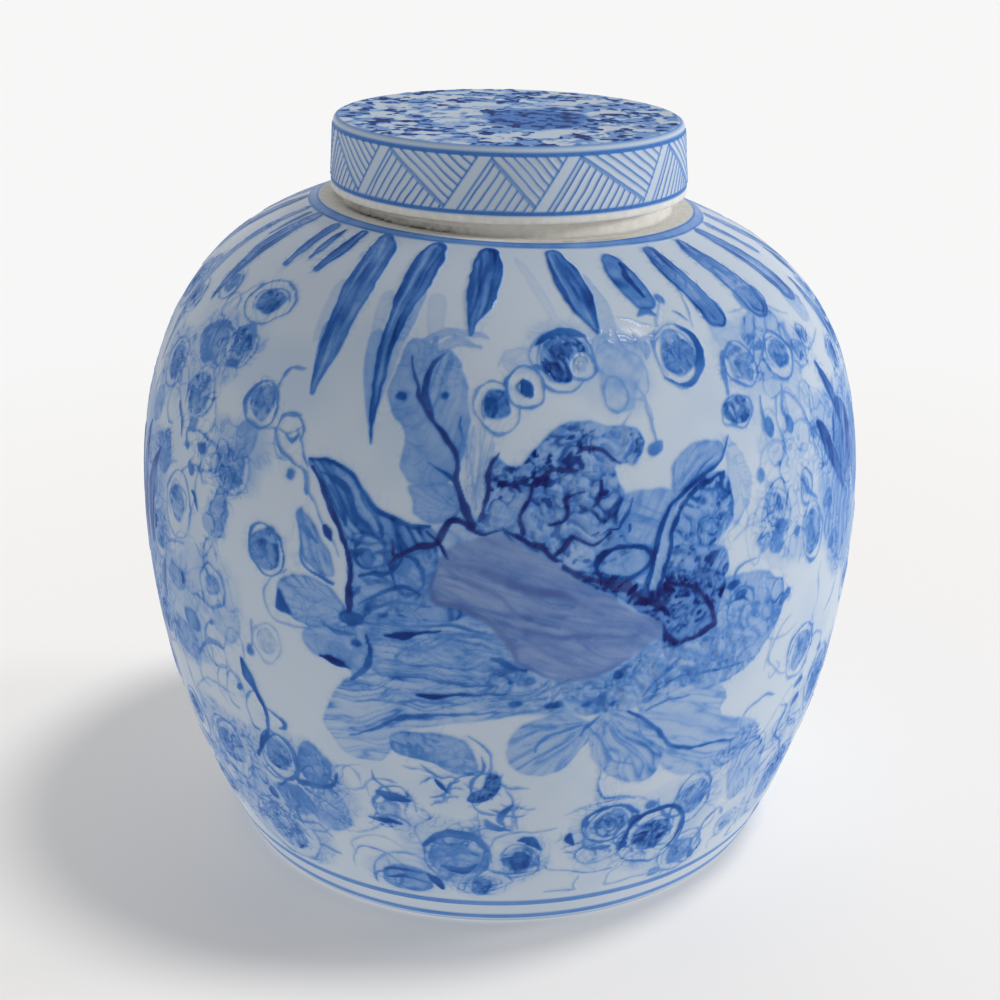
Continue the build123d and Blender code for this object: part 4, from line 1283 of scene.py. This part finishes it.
def jar_neck():
    """Radius and height along the bare ledge, up the neck, over its rim and down into the mouth."""
    corners = [(ledge_radius, ledge_height, 0), (neck_foot_radius, ledge_height, neck_foot_round),
               (neck_rim_radius, rim_height, rim_round), (mouth_radius, rim_height, rim_round),
               (mouth_radius, ceiling_height, 1.5), (mouth_radius + ceiling_start, ceiling_height, 0)]
    return outline(corners, 0.6)[1:]


def jar_hollow():
    """Radius and height down the inside of the belly to the middle of the floor."""
    ceiling_edge = (mouth_radius + ceiling_start, ceiling_height)
    top = shoulder(ceiling_edge, ceiling_rise, ceiling_lead - ceiling_start, ceiling_slope, wall, 60)
    side = flank(floor_height + floor_round, wall, 30)
    floor_edge = (on_flank(floor_height, wall), floor_height)
    corner = rounded(side[0], floor_edge, (0, floor_height), floor_round, 8)
    middle = run(corner[-1], (0, floor_height), plain_step)
    return np.vstack([top[-2::-1], side[-2::-1], corner[1:], middle, [(0, floor_height)]])


def make_jar(material):
    """The jar: painted wall, bare ledge and neck, and a plain inside and foot with fewer points."""
    under, neck, hollow = jar_underside(), jar_neck(), jar_hollow()
    few = columns // 8
    under_counts = [1] + [few] * (len(under) - 3) + [2 * few, 4 * few]
    hollow_counts = [4 * few, 2 * few] + [few] * (len(hollow) - 3) + [1]
    counts = under_counts + [columns] * (len(arc) + len(neck)) + hollow_counts
    rings = np.vstack([under, np.stack([radius, height], -1), neck, hollow])
    points = ring_points(rings, counts)

    first = sum(under_counts)
    last = first + ink.size
    points[first:last] += (relief[..., None] * wall_normals()).reshape(-1, 3)
    reach = np.hypot(points[:, 0], points[:, 1])
    bare = np.zeros(len(points))
    bare[last : last + columns * len(neck)] = 1
    bare[:first] = 1 - smooth_step((reach[:first] - radius[0] + 1.4) / 0.8)
    # dark specks and painted corner shade under the neck's left, and rust on the right
    specks_and_corner_shade, iron = ledge_stains_and_shade(points, bare)

    share = lean_share(points[:, 2])
    points[:, 2] -= tan(radians(shoulder_lean)) * points[:, 0] * share
    on_neck = (points[:, 2] > ledge_height - 12) & (reach < ledge_radius)
    points[:, 0] += neck_offset * np.maximum(share, on_neck)

    fields = {"ink": np.zeros(len(points)), "violet": np.zeros(len(points)), "bare": bare,
              "worn": np.zeros(len(points)), "specks_and_corner_shade": specks_and_corner_shade, "iron": iron}
    fields["ink"][first:last] = ink.ravel()
    fields["violet"][first:last] = violet.ravel()
    chart = jar_chart(rings, len(under), len(under) + len(arc) - 1)
    return make_mesh("painted_jar", points, counts, fields, chart, material)


def jar_chart(rings, wall_first, wall_last):
    """The jar's map: the wall as two half rounds, one above the other, and the rest in strips beside them."""
    path = np.concatenate([[0], np.cumsum(np.hypot(*np.diff(rings, axis=0).T))])

    def chart(faces, ring, lowest, share):
        half = (share.mean(1, keepdims=True) > 0.5) * 1.0
        up_wall = (path[ring] - path[wall_first]) / (path[wall_last] - path[wall_first])
        wall = np.stack([0.005 + 0.70 * (2 * share - half), 0.005 + 0.5 * half + 0.485 * up_wall], -1)
        under = np.stack([0.72 + 0.06 * path[ring] / path[wall_first], 0.005 + 0.99 * share], -1)
        up_rest = (path[ring] - path[wall_last]) / (path[-1] - path[wall_last])
        rest = np.stack([0.79 + 0.205 * up_rest, 0.005 + 0.99 * share], -1)
        below = (lowest < wall_first)[..., None]
        above = (lowest >= wall_last)[..., None]
        return np.where(below, under, np.where(above, rest, wall))

    return chart


def ledge_stains_and_shade(points, bare):
    """Dark specks, and painted shade in the corner under the neck's left; and a rusty line near the glaze on
    the right.
    """
    reach = np.hypot(points[:, 0], points[:, 1])
    turned = np.degrees(np.arctan2(points[:, 0], -points[:, 1]))
    on_ledge = bare * (points[:, 2] > ledge_height - 1) * (points[:, 2] < ledge_height + 2)
    specks = smooth_step((cloud(points, 1.3, 2, 501) - 0.40) / 0.3)
    left = smooth_step((turned + 72) / 14) * smooth_step((-2 - turned) / 22)
    # painted shade: a dark ring in the corner at the neck's foot, on the left; the specks beside it are dust
    corner = np.exp(-(((reach - neck_foot_radius - 1) / 1.1) ** 2)) * (0.6 + 0.5 * specks)
    dusted = 0.35 * specks * smooth_step((neck_foot_radius + 4.5 - reach) / 3)
    specks_and_corner_shade = on_ledge * left * np.maximum(corner, dusted)
    right = smooth_step((turned - 1) / 10) * smooth_step((42 - turned) / 14)
    rust = cloud(points, 2.6, 3, 507)
    rim = np.exp(-(((reach - 59.2 + 1.2 * (rust - 0.5)) / 0.6) ** 2))
    rim *= 0.25 + 0.7 * smooth_step((rust - 0.3) / 0.35)
    dust = 0.3 * specks * smooth_step((reach - 56) / 3)
    iron = on_ledge * right * np.maximum(rim, dust)
    return specks_and_corner_shade, iron


def wall_normals():
    """Outward directions of the plain wall at each grid point."""
    slope_r, slope_z = np.gradient(radius), np.gradient(height)
    size = np.hypot(slope_r, slope_z)
    out_r, out_z = slope_z / size, -slope_r / size
    return around(out_r, out_z, angle)


def lid_inside():
    """Radius and height from the middle of the lid's roof, down the skirt's inside, to its rim's middle."""
    corners = [(0, lid_top - lid_roof, 0), (skirt_roof_radius, lid_top - lid_roof, skirt_corner_round),
               (skirt_rim_radius, lid_bottom, lid_rim_round), (*lid_rim_middle, 0)]
    return outline(corners, plain_step)[:-1]


def lid_outside(step):
    """Radius and height from the middle of the rim, up the lid's side, to the middle of its top."""
    corners = [(*lid_rim_middle, 0), (lid_rim_radius, lid_bottom, lid_rim_round),
               (lid_top_radius, lid_top, lid_edge_round), (0, lid_top, 0)]
    return outline(corners, step)


def lid_ring_count(full, r, z):
    """How many points a ring of the lid's outside has: fewer as the rings on its top get smaller."""
    count = full
    while z > lid_top - 0.01 and r < lid_top_radius * count / full / 2 and count >= 64:
        count //= 2
    return count


def make_lid(material):
    """The lid, painted on its side and top."""
    full = 1024
    inner, outer = lid_inside(), lid_outside(0.4)
    inner_counts = [1] + [full // 4] * (len(inner) - 2) + [full // 2]
    counts = inner_counts + [lid_ring_count(full, r, z) for r, z in outer[:-1]] + [1]
    rings = np.vstack([inner, outer])
    points = ring_points(rings, counts, lid_offset)

    first = sum(inner_counts)
    outside = points[first:]
    x, y = points[:, 0] - lid_offset, points[:, 1]
    reach = np.hypot(x, y)
    sideways = np.column_stack([x, y, 0 * x])[first:] / np.maximum(reach[first:], 1e-6)[:, None]
    outward = np.where(outside[:, 2:] > lid_top - 0.5, [[0, 0, 1.0]], sideways)
    paint, raised = paint_lid(outside)
    ink_values = np.zeros(len(points))
    ink_values[first:] = paint
    bare = np.ones(len(points))
    bare[first:] = smooth_step((lid_glaze_edge - outside[:, 2]) / 0.3)
    points[first:] += outward * raised[:, None]
    points[first:, 2] -= tan(radians(lid_lean)) * (points[first:, 0] - lid_offset)
    worn = smooth_step(lid_top_radius - reach) * (points[:, 2] > 236) * (1 - bare)
    plain = np.zeros(len(points))
    fields = {"ink": ink_values, "violet": plain, "bare": bare, "worn": worn, "specks_and_corner_shade": plain, "iron": plain}
    return make_mesh("painted_lid", points, counts, fields, lid_chart(rings, len(inner), points), material)


def lid_chart(rings, side_first, points):
    """The lid's map: its flat top seen from above, its side as two half rounds, and its inside in a strip."""
    path = np.concatenate([[0], np.cumsum(np.hypot(*np.diff(rings, axis=0).T))])
    top_first = np.nonzero((rings[:, 1] > lid_top - 0.001) & (np.arange(len(rings)) > side_first))[0][0]

    def chart(faces, ring, lowest, share):
        half = (share.mean(1, keepdims=True) > 0.5) * 1.0
        up_side = (path[ring] - path[side_first]) / (path[top_first] - path[side_first])
        side = np.stack([0.005 + 0.98 * (2 * share - half), 0.64 + 0.18 * half + 0.16 * up_side], -1)
        top = 0.305 + (points[faces][..., :2] - (lid_offset, 0)) / lid_top_radius * 0.29
        inside_share = np.stack([0.64 + 0.35 * path[ring] / path[side_first], 0.005 + 0.60 * share], -1)
        within = (lowest < side_first)[..., None]
        on_top = (lowest >= top_first)[..., None]
        return np.where(within, inside_share, np.where(on_top, top, side))

    return chart


def woven_panel(t, turned, wave, start, gap):
    """The hatching from one slanting bar to the next, a gap of degrees further round, and the bar's edges."""
    per_degree = lid_rim_radius * pi / 180
    line_gap = lid_line_high - lid_line_low
    across = ((turned - start + bar_lead * (1 - t) + 180) % 360 - 180) * per_degree
    past_seam = ((turned - start - (1 - t) * (gap - bar_lead) + 180) % 360 - 180) * per_degree
    past_seam = past_seam / hypot(1, (gap - bar_lead) * per_degree / line_gap) + wave
    past_bar = across / hypot(1, bar_lead * per_degree / line_gap) + wave
    within = (t > 0) & (t < 1)
    here = within & (across > bar_half) & (across < gap * per_degree - bar_half)
    lines = []
    for depth, shift in ((past_seam, 0.2), (past_bar, 0.1)):
        off_line = np.abs((depth / hatch_spacing + shift) % 1 - 0.5) * hatch_spacing
        lines.append(smooth_step((0.52 - off_line) / 0.45))
    hatch = here * np.where(past_seam > 0, *lines)
    edge = within * np.exp(-(((np.abs(across) - bar_half - 0.3) / 0.45) ** 2))
    seam = here * np.exp(-((past_seam / 0.4) ** 2))
    paint = np.maximum((0.68 + 0.3 * wave) * hatch, np.maximum(0.66 * edge, 0.5 * seam))
    return paint, 0.32 * hatch


def paint_lid_top(points, x, y, r):
    """The mottled ground of the lid's top, with a denser medallion, inside a thin ring."""
    flecks = smooth_step((cloud(points, 3.9, 3, 311) - 0.415) / 0.08)
    deep = smooth_step((cloud(points, 2.6, 3, 317) - 0.48) / 0.14)
    open_ground = smooth_step((noise(points, 16, 323) - 0.62) / 0.2)
    ragged = 0.7 * (cloud(points, 9, 3, 319) - 0.5)
    medallion = smooth_step(4 * (1.02 - np.hypot((x - 9.6) / 18, (y + 6) / 25) + ragged))
    mottle = flecks * (0.48 + 0.66 * deep) * (1 - 0.5 * open_ground)
    mottle = np.maximum(mottle, medallion * (0.66 + 0.34 * deep))
    mottle = mottle * smooth_step((lid_top_radius - 1.6 - r) / 0.6) * (points[:, 2] > lid_top - 0.4)
    ring_line = np.exp(-(((r - lid_top_radius + 0.9) / 0.35) ** 2)) * (points[:, 2] > lid_top - 0.6)
    return np.maximum(mottle, 0.72 * ring_line), 0.15 * mottle


def paint_lid(points):
    """Pigment and relief on the lid's side and top."""
    x, y, z = points[:, 0] - lid_offset, points[:, 1], points[:, 2]
    r = np.hypot(x, y)
    turned = np.degrees(np.arctan2(x, -y))
    t = (z - lid_line_low) / (lid_line_high - lid_line_low)
    wave = 0.9 * (cloud(points, 8, 2, 301) - 0.5)
    on_side = (z < lid_top - 0.7) & (r > lid_top_radius - 3)
    paint, raised = paint_lid_top(points, x, y, r)
    for start, after in zip(bar_tops, bar_tops[1:] + bar_tops[:1]):
        panel, lift = woven_panel(t, turned, wave, start, (after - start) % 360)
        paint = np.maximum(paint, on_side * panel)
        raised = np.maximum(raised, on_side * lift)
    drift = 0.25 * (noise(points, 20, 305) - 0.5)
    for level, width in ((lid_line_low, 1.4), (lid_line_high, 1.3)):
        cover = smooth_step((width / 2 - np.abs(z - level + drift)) / 0.35 + 0.5) * (r > lid_top_radius - 1.5)
        paint = np.maximum(paint, 0.68 * cover)
    return paint, raised


# ---------------------------------------------------------------- glaze and clay


def add_node(tree, kind, settings=None, inputs=None):
    """A shader node with its settings, and its inputs set to values or joined to other nodes' outputs."""
    node = tree.nodes.new(kind)
    for key, value in (settings or {}).items():
        setattr(node, key, value)
    for key, value in (inputs or {}).items():
        if isinstance(value, bpy.types.NodeSocket):
            tree.links.new(value, node.inputs[key])
        else:
            node.inputs[key].default_value = value
    return node


def sum_of(tree, kind, a, b, third=None):
    """The result of a sum on two or three values."""
    inputs = {0: a, 1: b} if third is None else {0: a, 1: b, 2: third}
    return add_node(tree, "ShaderNodeMath", {"operation": kind}, inputs).outputs[0]


def blend_colours(tree, share, first, second):
    """One colour laid over another by a share."""
    node = add_node(tree, "ShaderNodeMix", {"data_type": "RGBA", "blend_type": "MIX"})
    for key, value in (("Factor", share), ("A", first), ("B", second)):
        socket = [i for i in node.inputs if i.name == key and i.enabled][0]
        if isinstance(value, bpy.types.NodeSocket):
            tree.links.new(value, socket)
        else:
            socket.default_value = value
    return [o for o in node.outputs if o.enabled][0]


def colour_ramp(tree, share, stops):
    """A colour that changes with a value."""
    node = add_node(tree, "ShaderNodeValToRGB", None, {0: share})
    ramp = node.color_ramp
    ramp.elements[0].position, ramp.elements[0].color = stops[0][0], (*stops[0][1], 1)
    ramp.elements[1].position, ramp.elements[1].color = stops[-1][0], (*stops[-1][1], 1)
    for position, colour in stops[1:-1]:
        ramp.elements.new(position).color = (*colour, 1)
    return node.outputs[0]


def field(tree, name):
    """A value that the mesh holds at each of its points."""
    return add_node(tree, "ShaderNodeAttribute", {"attribute_name": name}).outputs["Fac"]


def speckle(tree, place, scale, detail=2.0):
    """Fine noise, with a number of lumps to the metre."""
    inputs = {"Vector": place, "Scale": scale, "Detail": detail}
    return add_node(tree, "ShaderNodeTexNoise", None, inputs).outputs[0]


cobalt = [
    (0.0, (0.57, 0.65, 0.755)),
    (0.16, (0.40, 0.52, 0.715)),
    (0.32, (0.245, 0.395, 0.69)),
    (0.48, (0.095, 0.245, 0.60)),
    (0.64, (0.024, 0.118, 0.42)),
    (0.80, (0.010, 0.047, 0.25)),
    (0.96, (0.012, 0.015, 0.125)),
]
dark_violet = (0.014, 0.014, 0.13, 1)
grey_violet = (0.245, 0.30, 0.58, 1)
bare_clay = [(0.3, (0.75, 0.735, 0.685)), (0.7, (0.86, 0.845, 0.80))]
rust_brown = (0.46, 0.30, 0.16, 1)
# the colour of the ledge's dark specks and of the painted shade in its corner
specks_and_shade_black = (0.10, 0.09, 0.075, 1)


def make_porcelain(name):
    """Glazed porcelain with cobalt under the glaze, and bare clay where there is no glaze, with rust, dark
    specks and painted corner shade on the clay.
    """
    material = bpy.data.materials.new(name)
    material.use_nodes = True
    tree = material.node_tree
    tree.nodes.clear()
    place = add_node(tree, "ShaderNodeTexCoord").outputs["Object"]
    grain = speckle(tree, place, 900.0, 3.0)
    drift = speckle(tree, place, 90.0, 3.0)
    amount = field(tree, "ink")
    lumps = sum_of(tree, "MULTIPLY_ADD", grain, 0.16, -0.08)
    lumps = sum_of(tree, "MULTIPLY_ADD", drift, 0.14, sum_of(tree, "SUBTRACT", lumps, 0.07))
    shown = sum_of(tree, "MULTIPLY_ADD", lumps, sum_of(tree, "MINIMUM", amount, 0.6), amount)
    pigment = colour_ramp(tree, sum_of(tree, "MULTIPLY", shown, 0.8), cobalt)
    tint = field(tree, "violet")
    thickness = sum_of(tree, "MINIMUM", sum_of(tree, "MULTIPLY", amount, 0.9), 1.0)
    deep = blend_colours(tree, thickness, grey_violet, dark_violet)
    pigment = blend_colours(tree, sum_of(tree, "MULTIPLY", tint, 0.7), pigment, deep)
    clay = colour_ramp(tree, speckle(tree, place, 400.0, 4.0), bare_clay)
    bare = field(tree, "bare")
    clay = blend_colours(tree, field(tree, "iron"), clay, rust_brown)
    # dark specks and painted corner shade on the ledge's clay
    clay = blend_colours(tree, sum_of(tree, "MULTIPLY", field(tree, "specks_and_corner_shade"), 0.92), clay, specks_and_shade_black)
    colour = blend_colours(tree, bare, pigment, clay)
    gloss = sum_of(tree, "MULTIPLY_ADD", bare, -0.4, 0.4)
    gloss = sum_of(tree, "MULTIPLY", gloss, sum_of(tree, "MULTIPLY_ADD", field(tree, "worn"), -0.75, 1.0))
    rough = sum_of(tree, "MULTIPLY_ADD", bare, 0.45, 0.40)
    sand = add_node(tree, "ShaderNodeBump", None, {
        "Strength": sum_of(tree, "MULTIPLY_ADD", bare, 0.3, 0.03), "Distance": 0.0006,
        "Height": speckle(tree, place, 1500.0, 3.0),
    })
    glaze = add_node(tree, "ShaderNodeBsdfPrincipled", None, {
        "Base Color": colour, "Roughness": rough, "Normal": sand.outputs[0], "Coat Weight": gloss,
        "Coat Roughness": 0.12, "Coat IOR": 1.3, "Specular IOR Level": 0.0,
    })
    add_node(tree, "ShaderNodeOutputMaterial", None, {"Surface": glaze.outputs[0]})
    return material


# ---------------------------------------------------------------- the studio


def make_floor():
    """A white floor with painted shade: its colour is a little darker and warmer beside the jar. It casts no
    light on the jar: the surround does.
    """
    material = bpy.data.materials.new("white_floor_painted_shade")
    material.use_nodes = True
    shader = material.node_tree.nodes["Principled BSDF"]
    tree = material.node_tree
    away = add_node(tree, "ShaderNodeVectorMath", {"operation": "LENGTH"},
                    {0: add_node(tree, "ShaderNodeTexCoord").outputs["Object"]}).outputs["Value"]
    # painted shade: the floor's colour darkens and warms towards the jar
    tone = colour_ramp(tree, away, [(0.12, (0.712, 0.69, 0.662)), (0.6, (0.752, 0.75, 0.747))])
    tree.links.new(tone, shader.inputs["Base Color"])
    shader.inputs["Roughness"].default_value = 1.0
    shader.inputs["Specular IOR Level"].default_value = 0.0
    shader.inputs["Emission Color"].default_value = (1, 1, 1, 1)
    shader.inputs["Emission Strength"].default_value = 0.165
    mesh = bpy.data.meshes.new("floor")
    mesh.from_pydata([(-40, -40, 0), (40, -40, 0), (40, 40, 0), (-40, 40, 0)], [], [(0, 1, 2, 3)])
    mesh.materials.append(material)
    stage_floor = bpy.data.objects.new("floor", mesh)
    stage_floor.visible_diffuse = False
    stage_floor.visible_glossy = False
    bpy.context.scene.collection.objects.link(stage_floor)
    return stage_floor


def make_lamp(name, energy, lift, spread, lit, behind=0.0, glossy=False):
    """A distant lamp on the right or a little behind it, above the floor, that lights only some objects."""
    lamp = bpy.data.lights.new(name, "SUN")
    lamp.energy = energy
    lamp.angle = radians(spread)
    light = bpy.data.objects.new(name, lamp)
    light.rotation_euler = (0, radians(90 - lift), radians(behind))
    light.visible_glossy = glossy
    bpy.context.scene.collection.objects.link(light)
    group = bpy.data.collections.new(name + "_lights")
    for thing in lit:
        group.objects.link(thing)
    light.light_linking.receiver_collection = group


def make_lights(pieces, stage_floor):
    """Low and high lamps on the right, for the jar and for its shadow, and a surround of soft light.

    The surround is brightest behind the jar, and a camera sees it as an even white.
    """
    make_lamp("low_lamp", 1.5, 18, 11, pieces)
    make_lamp("high_lamp", 0.3, 60, 5, pieces, 0.0, True)
    make_lamp("low_floor_lamp", 0.95, 20, 14, [stage_floor], 8.0)
    make_lamp("high_floor_lamp", 1.45, 68, 12, [stage_floor], 4.0)
    world = bpy.data.worlds.new("surround")
    bpy.context.scene.world = world
    world.use_nodes = True
    tree = world.node_tree
    tree.nodes.clear()
    way = add_node(tree, "ShaderNodeTexCoord").outputs["Generated"]
    parts = add_node(tree, "ShaderNodeSeparateXYZ", None, {0: way}).outputs
    behind = sum_of(tree, "MULTIPLY_ADD", parts[1], 0.30, 0.34)
    sky = sum_of(tree, "MULTIPLY_ADD", parts[1], behind, 0.60)
    sky = sum_of(tree, "MULTIPLY_ADD", parts[2], -0.28, sky)
    below = sum_of(tree, "LESS_THAN", parts[2], 0.0)
    strength = sum_of(tree, "ADD", sum_of(tree, "MULTIPLY", sky, sum_of(tree, "SUBTRACT", 1.0, below)),
                      sum_of(tree, "MULTIPLY", below, 0.78))
    seen = add_node(tree, "ShaderNodeLightPath").outputs["Is Camera Ray"]
    strength = sum_of(tree, "MULTIPLY_ADD", seen, sum_of(tree, "SUBTRACT", 0.91, strength), strength)
    glow = add_node(tree, "ShaderNodeBackground", None, {"Color": (1, 1, 1, 1), "Strength": strength})
    add_node(tree, "ShaderNodeOutputWorld", None, {"Surface": glow.outputs[0]})


def make_camera():
    """A camera in front of the jar, looking a little down at it."""
    view = bpy.data.cameras.new("camera")
    view.sensor_width = 36
    view.lens = 63.83
    camera = bpy.data.objects.new("camera", view)
    camera.location = (0, -0.5716, 0.3351)
    camera.rotation_euler = (radians(68.44), 0, 0)
    bpy.context.scene.collection.objects.link(camera)
    bpy.context.scene.camera = camera


bpy.context.scene.view_settings.view_transform = "Standard"
make_camera()
stage_floor = make_floor()
relief = paint_height * np.clip(ink, 0, 1.1) + np.clip(press, -0.7, 0.5)
painted_jar = make_jar(make_porcelain("jar_glaze"))
painted_lid = make_lid(make_porcelain("lid_glaze"))
make_lights([painted_jar, painted_lid], stage_floor)
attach(painted_jar, "jar")
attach(painted_lid, "lid")
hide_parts("jar_body")
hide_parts("lid")
